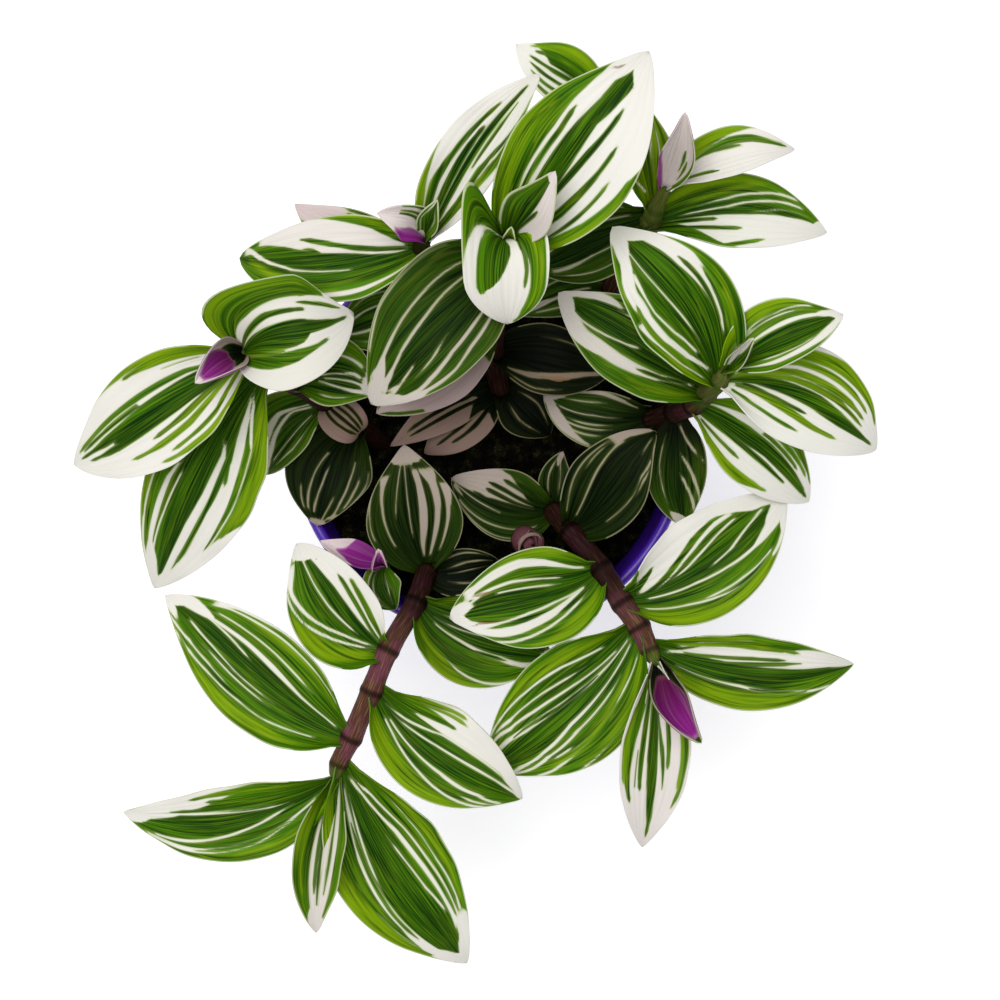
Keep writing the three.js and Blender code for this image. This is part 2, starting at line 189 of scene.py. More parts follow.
lamp = bpy.data.objects.new("lamp", bpy.data.lights.new("lamp", "AREA"))
bpy.context.scene.collection.objects.link(lamp)
lamp.location = LAMP_PLACE
lamp.rotation_euler = (-lamp.location).to_track_quat("-Z", "Y").to_euler()
lamp.data.size = LAMP_SIZE
lamp.data.energy = LAMP_WATTS


# ---------------------------------------------------------------------------------------------
# Pot: one thin-walled moulding of violet-blue plastic. Its rim is rolled outwards into a band, and
# six holes through its floor let water out. The mould leaves a fine, slightly uneven gloss.
# ---------------------------------------------------------------------------------------------

POT_HEIGHT = 110
RIM_RADIUS = 60
RIM_WIDTH = 3.4
RIM_DEPTH = 12
BASE_RADIUS = 43
BASE_EDGE = 2
WALL = 1.8
POT_FLOOR = 2.4
DRAIN_COUNT = 6
DRAIN_RADIUS = 3.5
DRAIN_RING = 27
DRAIN_SIDES = 24
DRILL_LENGTH = 4 * POT_FLOOR
RIM_STEPS = 12
EDGE_STEPS = 5
POT_STEPS = 144
POT_EDGE_ROUNDING = 0.35
POT_SHARP_ANGLE = 35
WELD = 0.00002
HAZE_SCALE = 55
GRAIN_SCALE = 2600
GRAIN_RELIEF = 0.0002
SCUFFED_HEIGHTS = (0.085, 0.112)
POT_COLOUR = (0.062, 0.010, 0.370, 1)
POT_WORN = (0.110, 0.035, 0.450, 1)


def inner_radius(height):
    """Radius of the pot's inside at a height above its base."""
    share = (height - POT_FLOOR) / (POT_HEIGHT - POT_FLOOR)
    return BASE_RADIUS - WALL + share * (RIM_RADIUS - RIM_WIDTH - BASE_RADIUS + WALL)


def pot_profile():
    """Radius and height round the pot's section, from the middle of its base to that of its floor."""
    outer = inner_radius(BASE_EDGE) + WALL
    band = POT_HEIGHT - RIM_DEPTH
    roll = RIM_WIDTH / 2
    points = [(0, 0), (BASE_RADIUS / 2, 0)]
    for step in range(EDGE_STEPS + 1):
        t = step / EDGE_STEPS
        start, corner, end = (BASE_RADIUS - BASE_EDGE, 0), (BASE_RADIUS, 0), (outer, BASE_EDGE)
        shares = ((1 - t) ** 2, 2 * t * (1 - t), t ** 2)
        points.append(tuple(sum(s * p[i] for s, p in zip(shares, (start, corner, end))) for i in (0, 1)))
    points.append((inner_radius(band) + WALL, band))
    points.append((RIM_RADIUS - POT_EDGE_ROUNDING, band))
    points.append((RIM_RADIUS, band + POT_EDGE_ROUNDING))
    for step in range(RIM_STEPS + 1):
        turn = math.pi * step / RIM_STEPS
        points.append((RIM_RADIUS - roll + roll * math.cos(turn), POT_HEIGHT - roll + roll * math.sin(turn)))
    points += [(inner_radius(POT_FLOOR), POT_FLOOR), (0, POT_FLOOR)]
    return points


def mesh_object(name, points, edges=(), faces=()):
    """An object at the origin whose mesh has these points, given in millimetres."""
    mesh = bpy.data.meshes.new(name)
    mesh.from_pydata([[MM * c for c in point] for point in points], edges, faces)
    made = bpy.data.objects.new(name, mesh)
    bpy.context.scene.collection.objects.link(made)
    deselect_all()
    made.select_set(True)
    bpy.context.view_layer.objects.active = made
    return made


def apply_modifier(thing, kind, **settings):
    bpy.context.view_layer.objects.active = thing
    modifier = thing.modifiers.new(kind.lower(), kind)
    for name, value in settings.items():
        setattr(modifier, name, value)
    bpy.ops.object.modifier_apply(modifier=modifier.name)


def in_edit_mode(thing, *steps):
    """Runs edit-mode steps on everything in a mesh."""
    bpy.context.view_layer.objects.active = thing
    bpy.ops.object.mode_set(mode="EDIT")
    bpy.ops.mesh.select_all(action="SELECT")
    for step in steps:
        step()
    bpy.ops.object.mode_set(mode="OBJECT")


profile = [(radius, 0, height) for radius, height in pot_profile()]
pot = mesh_object("pot_shell", profile, edges=[(i, i + 1) for i in range(len(profile) - 1)])
in_edit_mode(
    pot,
    lambda: bpy.ops.mesh.spin(steps=POT_STEPS, angle=2 * math.pi, center=(0, 0, 0), axis=(0, 0, 1)),
    lambda: bpy.ops.mesh.select_all(action="SELECT"),
    lambda: bpy.ops.mesh.remove_doubles(threshold=WELD),
    lambda: bpy.ops.mesh.normals_make_consistent(inside=False),
)
for number in range(DRAIN_COUNT):
    angle = 2 * math.pi * number / DRAIN_COUNT
    deselect_all()
    bpy.ops.mesh.primitive_cylinder_add(
        vertices=DRAIN_SIDES,
        radius=DRAIN_RADIUS * MM,
        depth=DRILL_LENGTH * MM,
        location=(DRAIN_RING * math.cos(angle) * MM, DRAIN_RING * math.sin(angle) * MM, 0),
    )
    drill = bpy.context.object
    apply_modifier(pot, "BOOLEAN", operation="DIFFERENCE", object=drill, solver="EXACT")
    bpy.data.objects.remove(drill)
deselect_all()
pot.select_set(True)
bpy.context.view_layer.objects.active = pot
bpy.ops.object.shade_smooth_by_angle(angle=math.radians(POT_SHARP_ANGLE))

pot_material, pot_shader, paint = new_material("violet plastic")
place = paint.node("ShaderNodeTexCoord", output="Object")
haze = paint.node("ShaderNodeTexNoise", inputs={"Vector": place, "Scale": HAZE_SCALE, "Detail": 4})
grain = paint.node("ShaderNodeTexNoise", inputs={"Vector": place, "Scale": GRAIN_SCALE, "Detail": 2})
height_in_pot = paint.node("ShaderNodeSeparateXYZ", inputs={"Vector": place}, output="Z")
scuffed = haze.step(0.52, 0.75) * height_in_pot.step(*SCUFFED_HEIGHTS)
full = paint.node("ShaderNodeRGB")
full.socket.default_value = POT_COLOUR
pot_relief = paint.node("ShaderNodeBump", inputs={
    "Height": grain,
    "Strength": 0.12,
    "Distance": GRAIN_RELIEF,
})
set_inputs(pot_shader, {
    "Base Color": full.blend(scuffed * 0.8, POT_WORN),
    "Roughness": 0.27 + haze * 0.16 + scuffed * 0.12,
    "Normal": pot_relief,
})
pot.data.materials.append(pot_material)
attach(pot, "root")
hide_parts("pot")


# ---------------------------------------------------------------------------------------------
# Soil: dark, crumbly potting soil that fills the pot to a finger's breadth below its rim. Its
# surface is uneven, with loose crumbs of peat and bark and a few specks of moss on it.
# ---------------------------------------------------------------------------------------------

SOIL_TOP = 98
SOIL_CROWN = 1.5
GAP = 0.35
SOIL_GRID = 110
GRID_EDGE = 0.999
CLOD_HEIGHT = 1.3
CLOD_SINK = 0.5
CLOD_WAVES = ((9.0, 0.4), (4.5, 0.33), (2.3, 0.27))
CLOD_TURNS = (0.3, 1.4, 2.6)
CLOD_BEND = 5
CRUMB_COUNT = 620
CRUMB_SIZES = (0.5, 1.9)
CRUMB_SKEW = 2.5
CRUMB_STRETCH = (0.6, 0.5)
CRUMB_LUMPS = 0.22
CRUMB_SINK = 0.35
RANDOM_SEED = 4127
COARSE_SCALE = 260
CLOD_SCALE = 420
FINE_SCALE = 2200
SOIL_RELIEF = 0.0012
SOIL_DARK = (0.0012, 0.0011, 0.0008, 1)
SOIL_BROWN = (0.010, 0.0085, 0.0035, 1)
BARK_BROWN = (0.090, 0.055, 0.018, 1)
MOSS_GREEN = (0.055, 0.065, 0.010, 1)
SOIL_SPECULAR = 0.05

chance = np.random.default_rng(RANDOM_SEED)


def soil_height(x, y):
    """Height of the soil's surface: a low crown with clods on it."""
    crown = SOIL_TOP - SOIL_CROWN * (x ** 2 + y ** 2) / RIM_RADIUS ** 2
    rough = np.zeros_like(x)
    for wave, share in CLOD_WAVES:
        for turn in CLOD_TURNS:
            along = (x * math.cos(turn) + y * math.sin(turn)) / wave
            swing = np.sin(2 * math.pi * along + CLOD_BEND * np.sin(along + turn))
            rough += share * swing / len(CLOD_TURNS)
    return crown + CLOD_HEIGHT * (rough - CLOD_SINK)


deselect_all()
bpy.ops.mesh.primitive_grid_add(x_subdivisions=SOIL_GRID, y_subdivisions=SOIL_GRID, size=2)
soil = bpy.context.object
soil.name = "soil_bed"
flat = np.empty(3 * len(soil.data.vertices))
soil.data.vertices.foreach_get("co", flat)
flat = flat.reshape(-1, 3)
soil_radius = inner_radius(SOIL_TOP - SOIL_CROWN) - GAP
x = soil_radius * flat[:, 0] * np.sqrt(1 - flat[:, 1] ** 2 / 2)
y = soil_radius * flat[:, 1] * np.sqrt(1 - flat[:, 0] ** 2 / 2)
soil.data.vertices.foreach_set("co", (MM * np.stack([x, y, soil_height(x, y)], axis=1)).ravel())
edge_points = {v.index for v in soil.data.vertices if np.abs(flat[v.index]).max() > GRID_EDGE}
for edge in soil.data.edges:
    edge.select = set(edge.vertices) <= edge_points
for vertex in soil.data.vertices:
    vertex.select = vertex.index in edge_points
for face in soil.data.polygons:
    face.select = False
soil_bottom = POT_FLOOR + GAP
bottom_share = (inner_radius(soil_bottom) - GAP) / soil_radius
bpy.context.tool_settings.mesh_select_mode = (False, True, False)
bpy.ops.object.mode_set(mode="EDIT")
bpy.ops.mesh.extrude_edges_move()
bpy.ops.transform.resize(value=(bottom_share, bottom_share, 0), center_override=(0, 0, soil_bottom * MM))
bpy.ops.mesh.edge_face_add()
bpy.ops.mesh.select_all(action="SELECT")
bpy.ops.mesh.normals_make_consistent(inside=False)
bpy.ops.object.mode_set(mode="OBJECT")

deselect_all()
bpy.ops.mesh.primitive_ico_sphere_add(subdivisions=1, radius=1)
crumb = bpy.context.object
corners = np.array([v.co for v in crumb.data.vertices])
sides = [tuple(face.vertices) for face in crumb.data.polygons]
bpy.data.objects.remove(crumb)
points, faces = [], []
for number in range(CRUMB_COUNT):
    ring = (soil_radius - CRUMB_SIZES[1]) * math.sqrt(chance.random())
    angle = 2 * math.pi * chance.random()
    size = CRUMB_SIZES[0] + (CRUMB_SIZES[1] - CRUMB_SIZES[0]) * chance.random() ** CRUMB_SKEW
    stretch = size * (CRUMB_STRETCH[0] + CRUMB_STRETCH[1] * chance.random(3))
    turned = corners + CRUMB_LUMPS * chance.standard_normal(corners.shape)
    spot = np.array([ring * math.cos(angle), ring * math.sin(angle)])
    rest = soil_height(spot[:1], spot[1:])[0] + stretch[2] * CRUMB_SINK
    first = len(points)
    points += (turned * stretch + (*spot, rest)).tolist()
    faces += [tuple(first + corner for corner in side) for side in sides]
crumbs = mesh_object("soil_crumbs", points, faces=faces)

soil_material, soil_shader, paint = new_material("potting soil")
place = paint.node("ShaderNodeTexCoord", output="Object")
coarse = paint.node("ShaderNodeTexNoise", inputs={"Vector": place, "Scale": COARSE_SCALE, "Detail": 6})
clods = paint.node("ShaderNodeTexVoronoi", inputs={"Vector": place, "Scale": CLOD_SCALE})
fine = paint.node("ShaderNodeTexNoise", inputs={"Vector": place, "Scale": FINE_SCALE, "Detail": 3})
# The soil's base colour, near black.
near_black_soil = paint.node("ShaderNodeRGB")
near_black_soil.socket.default_value = SOIL_DARK
brown = near_black_soil.blend(coarse.step(0.42, 0.72), SOIL_BROWN).blend(fine.step(0.66, 0.74) * 0.7, BARK_BROWN)
brown = brown.blend(coarse.step(0.50, 0.66) * fine.step(0.52, 0.62) * 0.6, MOSS_GREEN)
height = coarse * 0.6 + clods * 0.5 + fine * 0.25
soil_relief = paint.node("ShaderNodeBump", inputs={
    "Height": height,
    "Strength": 0.9,
    "Distance": SOIL_RELIEF,
})
set_inputs(soil_shader, {
    "Base Color": brown,
    "Roughness": 0.82 + fine * 0.15,
    "Specular IOR Level": SOIL_SPECULAR,
    "Normal": soil_relief,
})
for piece in (soil, crumbs):
    piece.data.materials.append(soil_material)
    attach(piece, "root")
    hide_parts("soil")


# ---------------------------------------------------------------------------------------------
# Front left shoot: the long stem that hangs over the rim at the lower left. A shoot is a jointed,
# fleshy stem with a leaf at each joint. The leaf's base is wrapped round the stem, and its blade is
# thin, pointed and striped lengthwise in white and several greens.
# ---------------------------------------------------------------------------------------------

# A stem's values are in millimetres. It is slimmer at its last two joints, greener at its young end,
# and has shade painted into its colour where it stands near the middle of the pot, under the leaves.
STEM_BURIED = 16
STEM_SIDES = 28
STEM_STEP = 0.7
STEM_GUIDE = (0.0, 0.3, 1.0)
STEM_END_START = 0.3
STEM_END_SHARE = 0.8
STEM_SHARP_ANGLE = 60
STEM_PAINTED_SHADE_REACH = 68
STEM_PAINTED_SHADE_FADE = 12
TIP_SLIMNESS = (0.45, 0.8)
JOINT_SWELL = 0.25
JOINT_SPREAD = 1.3
SHEATH_LENGTH = 4.5
SHEATH_ABOVE = 1
SHEATH_SWELL = 0.15
GREEN_END = 7
GREEN_FADE = 5


def unit(vectors):
    return vectors / np.linalg.norm(vectors, axis=-1, keepdims=True)


def stem_path(joints):
    """Points along a smooth curve through a stem's joints, from its buried end, and their distance."""
    buried = np.array([*joints[0][:2], SOIL_TOP - STEM_BURIED], float)
    stops = np.vstack([buried, np.array(joints, float)])
    ends = np.vstack([2 * stops[0] - stops[1], stops, 2 * stops[-1] - stops[-2]])
    points = []
    for before, start, end, after in zip(ends[:-3], ends[1:-2], ends[2:-1], ends[3:]):
        count = max(2, round(np.linalg.norm(end - start) / STEM_STEP))
        for t in np.arange(count)[:, None] / count:
            bend = 2 * before - 5 * start + 4 * end - after
            turn = 3 * (start - end) + after - before
            points.append((2 * start + (end - before) * t + bend * t ** 2 + turn * t ** 3) / 2)
    points = np.vstack([*points, stops[-1]])
    lengths = np.linalg.norm(np.diff(points, axis=0), axis=1)
    return points, np.concatenate([[0], np.cumsum(lengths)])


def coordinates_of(thing):
    found = np.empty(3 * len(thing.data.vertices))
    thing.data.vertices.foreach_get("co", found)
    return found.reshape(-1, 3)


def set_coordinates(thing, points):
    thing.data.vertices.foreach_set("co", np.ascontiguousarray(MM * points, float).ravel())
    thing.data.update()


def set_attribute(thing, name, values):
    attribute = thing.data.attributes.new(name, "FLOAT", "POINT")
    attribute.data.foreach_set("value", np.ascontiguousarray(values, np.float32).ravel())


def grow_stem(shoot):
    """A stem as a closed tube that swells at its joints and under each leaf's sheath."""
    points, along = stem_path(shoot["joints"])
    joints = np.array(shoot["joints"], float)
    at_joint = np.array([along[np.argmin(np.linalg.norm(points - joint, axis=1))] for joint in joints])
    with_leaf = sorted({leaf["at"] for leaf in shoot["leaves"]})
    deselect_all()
    bpy.ops.mesh.primitive_grid_add(x_subdivisions=STEM_SIDES, y_subdivisions=len(along) - 1, size=2)
    stem = bpy.context.object
    flat = coordinates_of(stem)
    row = np.rint((flat[:, 1] + 1) / 2 * (len(along) - 1)).astype(int)
    angle = math.pi * flat[:, 0]
    tangent = unit(np.gradient(points, axis=0))
    side = unit(np.cross(tangent, STEM_GUIDE))
    other = np.cross(tangent, side)
    past = along[:, None] - at_joint[None, 1:]
    swell = JOINT_SWELL * np.exp(-(past / JOINT_SPREAD) ** 2).max(axis=1)
    sheath = np.zeros(len(along))
    for joint in with_leaf:
        below = at_joint[joint] - along
        cover = np.clip(1 - np.abs(below / SHEATH_LENGTH), 0, 1)
        sheath = np.maximum(sheath, cover * (below > -SHEATH_ABOVE))
    radius = shoot["radius"] + swell + SHEATH_SWELL * np.minimum(1, 3 * sheath)
    radius *= np.interp(along, at_joint[-3:], (1, *reversed(TIP_SLIMNESS)))
    to_end = (along[-1] - along + STEM_END_START) / (STEM_END_SHARE * shoot["radius"])
    radius *= np.minimum(1, np.sqrt(to_end))
    round_it = side[row] * np.cos(angle)[:, None] - other[row] * np.sin(angle)[:, None]
    set_coordinates(stem, points[row] + radius[row][:, None] * round_it)
    nearest = np.abs(along[:, None] - at_joint[None, :]).min(axis=1)
    set_attribute(stem, "along", along[row])
    set_attribute(stem, "around", np.abs(angle) / math.pi)
    set_attribute(stem, "joint", nearest[row])
    set_attribute(stem, "sheath", sheath[row])
    off_centre = np.linalg.norm(points[row][:, :2], axis=1)
    # Painted shade, strongest near the middle of the pot, under the leaves.
    set_attribute(stem, "gloom", np.clip((STEM_PAINTED_SHADE_REACH - off_centre) / STEM_PAINTED_SHADE_FADE, 0, 1))
    past_green = along - along[-1] + shoot["green_end"]
    set_attribute(stem, "green", np.clip(past_green / GREEN_FADE, 0, 1)[row])
    in_edit_mode(
        stem,
        lambda: bpy.ops.mesh.remove_doubles(threshold=WELD),
        lambda: bpy.ops.mesh.select_all(action="DESELECT"),
        lambda: bpy.ops.mesh.select_non_manifold(),
        lambda: bpy.ops.mesh.edge_face_add(),
        lambda: bpy.ops.mesh.select_all(action="SELECT"),
        lambda: bpy.ops.mesh.normals_make_consistent(inside=False),
    )
    bpy.ops.object.shade_smooth_by_angle(angle=math.radians(STEM_SHARP_ANGLE))
    return stem


# The clasp is the base of the blade, which is wrapped round the stem. Hump and bow make lift, droop
# and sweep the real heights of the curves that they give the midline.
CLASP = 0.4
CLASP_SHARE = 0.62
CLASP_OPENING = 5
BLADE_ROOT = 1.8
HUMP = 27 / 4
BOW = 4
TIGHTEST_CURL = 0.9
FURL_GROWTH = 0.8
WIDEST_SHIFT = 0.8
TAPER_POWER = 5
LOBE_END = 0.55
TANGENT_STEP = 0.01
NEARLY_FLAT = 1e-6


def blade_points(shoot, leaf, u, v):
    """A blade's points, its reach from the midline and its normals, u from base to tip, v across."""
    heading, rise = math.radians(leaf["heading"]), math.radians(leaf["rise"])
    joints = np.array(shoot["joints"], float)
    at = leaf["at"]
    stem = unit(joints[min(at + 1, len(joints) - 1)] - joints[max(at - 1, 0)])
    chord = np.array([
        math.cos(rise) * math.cos(heading),
        math.cos(rise) * math.sin(heading),
        math.sin(rise),
    ])
    outward = unit(chord - stem * (chord @ stem))
    radius_here = shoot["radius"] * dict(zip((len(joints) - 1, len(joints) - 2), TIP_SLIMNESS)).get(at, 1)
    base = joints[at] + outward * (radius_here - CLASP)
    face = unit(np.array([0, 0, 1.0]) - chord * chord[2])
    left = np.cross(face, chord)

    def midline(t):
        t = t[:, None]
        return (
            base
            + chord * leaf["length"] * t
            + stem * leaf["lift"] * HUMP * t * (1 - t) ** 2
            + face * leaf["droop"] * HUMP * t ** 2 * (1 - t)
            + left * leaf["sweep"] * BOW * t * (1 - t)
        )

    half_width = leaf["width"] / 2
    clasp_radius = radius_here - CLASP / 2
    base_share = min(CLASP_SHARE, clasp_radius * math.radians(leaf["grip"]) / half_width)
    clasp_angle = half_width * base_share / clasp_radius
    cup = math.radians(leaf["cup"])
    tangent = unit(midline(np.minimum(u + TANGENT_STEP, 1)) - midline(np.maximum(u - TANGENT_STEP, 0)))
    roll = math.radians(leaf["roll"])
    side = left * math.cos(roll) + face * math.sin(roll)
    side = unit(side - tangent * (tangent @ side)[:, None])
    normal = np.cross(tangent, side)

    oval = np.sin(math.pi * np.minimum(u, 1 - NEARLY_FLAT) ** WIDEST_SHIFT) ** leaf["fullness"]
    oval = oval * (1 - leaf["taper"] * u ** TAPER_POWER)
    local = half_width * (oval + base_share * (1 - u) ** 3 * (1 - oval))
    reach = local * (1 + leaf["lean"] * np.sign(v))
    angle = cup + (clasp_angle - cup) * (1 - u) ** CLASP_OPENING
    angle = np.where(leaf["furl"], cup * local / half_width, angle)
    angle = np.maximum(np.minimum(angle, local / TIGHTEST_CURL), NEARLY_FLAT)
    lobe = np.where(v > 0, leaf["left_lobe"], leaf["right_lobe"])
    backward = np.sin(math.pi * np.minimum(1, u / LOBE_END)) * v ** 2
    out = normal * np.cos(angle * v)[:, None] - side * np.sin(angle * v)[:, None]
    radius = reach * (1 + FURL_GROWTH * leaf["furl"] * v) / angle
    points = (
        midline(u)
        + side * (radius * np.sin(angle * v))[:, None]
        + normal * (reach / angle - radius * np.cos(angle * v))[:, None]
        - chord * (lobe * backward)[:, None]
        - tangent * (BLADE_ROOT * (u < NEARLY_FLAT))[:, None]
    )
    return points, reach, out


# No stripe is drawn finer than the thinnest line, which a slanting one needs a little thicker.
NARROWEST_REACH = 2.5
THINNEST_LINE = 0.33
THICKENING = 4
SLANT_STEP = 0.03
END_SLOPE = 2.0
FAR_AWAY = -9.0


def stripe_depth(stripe, u, v, reach):
    """How deep a point lies inside a stripe, in millimetres, and below zero outside it.

    A stripe is its width and then places along its middle, in hundredths of the leaf: how far along
    it, how far to the left, and the width there. Without its own width, an end place is a point.
    """
    width, *places = stripe
    last = len(places) - 1
    widths = [place[2] if len(place) > 2 else width * (0 < i < last) for i, place in enumerate(places)]
    along = [place[0] / 100 for place in places]
    middle = np.interp(u, along, [place[1] / 100 for place in places])
    slant = np.abs(np.interp(u + SLANT_STEP, along, [place[1] / 100 for place in places]) - middle)
    reach = np.maximum(reach, NARROWEST_REACH)
    half = np.interp(u, along, [w / 200 for w in widths]) * reach
    half = np.maximum(half, np.minimum(THINNEST_LINE + slant * reach / 2, THICKENING * half))
    depth = half - np.abs(v - middle) * reach
    ends = np.minimum(
        (u - along[0]) * END_SLOPE * (along[0] > 0) + (along[0] <= 0),
        (along[-1] - u) * END_SLOPE * (along[-1] < 1) + (along[-1] >= 1),
    )
    return np.minimum(depth, ends * np.where(ends < 0, -FAR_AWAY * 2, -FAR_AWAY))


# The blade's grid, its pleats along the veins, the ripples of its margins and the fold of its midrib.
COLUMN_WIDTH = 0.27
COLUMN_LIMITS = (24, 120)
ROW_LENGTH = 1.0
ROW_LIMITS = (16, 72)
FAN_DEPTH = 0.85
FAN_POWER = 1.5
PLEAT_COUNT = 5
PLEAT_HEIGHT = 0.09
RIPPLE_HEIGHT = 0.45
RIPPLE_LENGTH = 17
RIPPLE_START = 0.12
RIPPLE_RISE = 0.2
RIPPLE_SHIFT = 0.37
RIPPLE_FULL_WIDTH = 25
RIPPLE_UNEVENNESS = 0.4
FOLD_WIDTH = 1.6
FOLD_DEPTH = 0.30
BLADE_THICKNESS = 0.55
MARGIN_SHARE = 0.35
MARGIN_START = 0.16
MARGIN_HIDDEN = 3
MARGIN_THINNING = 6
TIP_THINNING = 12
THICKNESS_LEVELS = 5
FACE_CELL = 0.62
CELL_GAP = 0.03


def grow_leaf(shoot, leaf, number, cells):
    """One leaf: a fine grid bent to the blade's shape, with its stripes as attributes, then made solid.

    The lines of the grid fan out from the leaf's base, as its veins and stripes do.
    """
    columns = int(np.clip(round(leaf["width"] / COLUMN_WIDTH), *COLUMN_LIMITS))
    rows = int(np.clip(round(leaf["length"] / ROW_LENGTH), *ROW_LIMITS))
    deselect_all()
    bpy.ops.mesh.primitive_grid_add(x_subdivisions=columns, y_subdivisions=rows, size=2)
    blade = bpy.context.object
    flat = coordinates_of(blade)
    u, line = np.clip((flat[:, 1] + 1) / 2, 0, 1), -flat[:, 0]
    spread = 1 - FAN_DEPTH * (1 - u) ** FAN_POWER
    v = line * (spread + (1 - spread) * np.abs(line) ** FAN_POWER)
    v = np.where(u > 1 - NEARLY_FLAT, 0, v)
    points, reach, out = blade_points(shoot, leaf, u, v)
    open_part = np.clip((u - RIPPLE_START) / RIPPLE_RISE, 0, 1)
    pleats = PLEAT_HEIGHT * np.cos(2 * math.pi * PLEAT_COUNT * v) * np.sin(math.pi * u) * (1 - v ** 2)
    turns = u * leaf["length"] / RIPPLE_LENGTH + number * RIPPLE_SHIFT
    ripple = RIPPLE_HEIGHT * v ** 4 * np.sin(2 * math.pi * turns)
    ripple = ripple * open_part * (1 - u ** 6) * min(1, leaf["width"] / RIPPLE_FULL_WIDTH)
    ripple = ripple * (1 + RIPPLE_UNEVENNESS * np.sign(v))
    crease = -FOLD_DEPTH * np.exp(-(v * reach / FOLD_WIDTH) ** 2) * np.sin(math.pi * u)
    set_coordinates(blade, points + out * (pleats + ripple + crease)[:, None])

    depths = {name: np.full(len(u), FAR_AWAY) for name in ("white", "lime", "brown", "purple")}
    for colour, *stripe in leaf["stripes"]:
        depth = stripe_depth(stripe, u, v, reach)
        if colour == "green" or colour == "lime":
            depths["white"] = np.minimum(depths["white"], -depth)
        if colour == "green":
            depths["lime"] = np.minimum(depths["lime"], -depth)
        else:
            depths[colour] = np.maximum(depths[colour], depth)
    for name, depth in depths.items():
        set_attribute(blade, name, depth)
    set_attribute(blade, "along", u * leaf["length"])
    set_attribute(blade, "across", line * leaf["width"] / 2)
    set_attribute(blade, "share", np.abs(v))
    hidden = MARGIN_HIDDEN * np.clip(1 - u / MARGIN_START, 0, 1)
    set_attribute(blade, "margin", (1 - np.abs(v)) * reach + hidden)
    # Where the midrib's fold lies, for the shade painted along it.
    set_attribute(blade, "fold", 0.5 + v * reach / FOLD_WIDTH)
    # The painted shade, the blush and the plum each run from the leaf's base to its tip.
    for name in ("gloom", "blush", "plum"):
        set_attribute(blade, name, np.interp(u, (0, 1), np.broadcast_to(leaf[name], 2)))
    # A number that differs from leaf to leaf, so that no two have the same streaks.
    set_attribute(blade, "leaf", np.full(len(u), number + len(shoot["leaves"]) * shoot["radius"]))

    # Each leaf has its own cell of the UV map, with its face to the left in it and its back to the right.
    column, row = number % cells, number // cells
    layer = blade.data.uv_layers.active
    layer.name = "OFBake"
    corner = np.empty(len(blade.data.loops), int)
    blade.data.loops.foreach_get("vertex_index", corner)
    across = (1 + flat[corner, 0]) / 2 * (1 - 2 * CELL_GAP) + CELL_GAP
    along = (1 + flat[corner, 1]) / 2 * (1 - 2 * CELL_GAP) + CELL_GAP
    places = np.stack([(column + FACE_CELL * across) / cells, (row + along) / cells], axis=1)
    layer.data.foreach_set("uv", places.ravel())

    # The blade is thickest along its middle, and thins in a few steps towards its margins and tip.
    body = blade.vertex_groups.new(name="body")
    inside = np.minimum(np.minimum(1, (1 - np.abs(v)) * MARGIN_THINNING), (1 - u) * TIP_THINNING)
    levels = np.minimum(THICKNESS_LEVELS - 1, (inside * THICKNESS_LEVELS).astype(int))
    for level in range(THICKNESS_LEVELS):
        picked = np.flatnonzero(levels == level)
        body.add(picked.tolist(), (level + 1) / THICKNESS_LEVELS, "REPLACE")
    in_edit_mode(blade, lambda: bpy.ops.mesh.remove_doubles(threshold=WELD))
    blade.data.materials.append(leaf_material)
    blade.data.materials.append(back_material)
    apply_modifier(
        blade,
        "SOLIDIFY",
        thickness=BLADE_THICKNESS * MM,
        offset=0,
        vertex_group="body",
        thickness_vertex_group=MARGIN_SHARE,
        material_offset=1,
        material_offset_rim=0,
    )
    layer = blade.data.uv_layers["OFBake"]
    for face in blade.data.polygons:
        face.use_smooth = True
        if face.material_index == 1:
            for loop in face.loop_indices:
                place = layer.data[loop].uv
                inside = place[0] * cells - column
                place[0] = (column + FACE_CELL + inside * (1 - FACE_CELL) / FACE_CELL) / cells
    return blade


# A leaf sits at a joint of its stem. Its heading is counted from +X towards +Y and its rise from the
# horizontal, both in degrees. Lift carries the blade along the stem before it turns outwards, droop
# arches it upwards, and sweep bends it to its left. Lean gives the left half more width, cup is the
# half angle of its arched section, roll turns the section, and grip is the half angle of its clasp.
# Fullness below one makes the outline blunter, and taper is how much its last stretch is drawn in.
# Furl is 1 for a young leaf that is still rolled up, with its margins past each other. Painted shade
# is how much of the other leaves' shade is painted into its colour, blush how pink its white parts
# are, and plum how purple its underside is, all from 0 to 1, each as one number or as a pair, at its
# base and its tip.
USUAL_LEAF = {
    "sweep": 0,
    "lean": 0,
    "lift": 3,
    "droop": 5,
    "roll": 0,
    "cup": 10,
    "grip": 105,
    "fullness": 0.68,
    "taper": 0.36,
    "left_lobe": 0,
    "right_lobe": 0,
    "furl": 0,
    "gloom": 0.1,
    "blush": 0.1,
    "plum": 0.1,
    "stripes": (),
}

# A stripe over the whole blade, on which green ones are laid.
ALL_WHITE = ("white", 300, (0, 0, 300), (100, 0, 300))


def new_shoot(name, radius, joints, green_end=GREEN_END):
    """The values of a shoot: its stem's radius, its joints from the soil up, and its green end."""
    return {"name": name, "radius": radius, "joints": joints, "green_end": green_end, "leaves": []}


def add_leaf(shoot, **values):
    """Adds a leaf at one of the joints. What isn't given is as on the usual leaf."""
    shoot["leaves"].append({**USUAL_LEAF, **values})


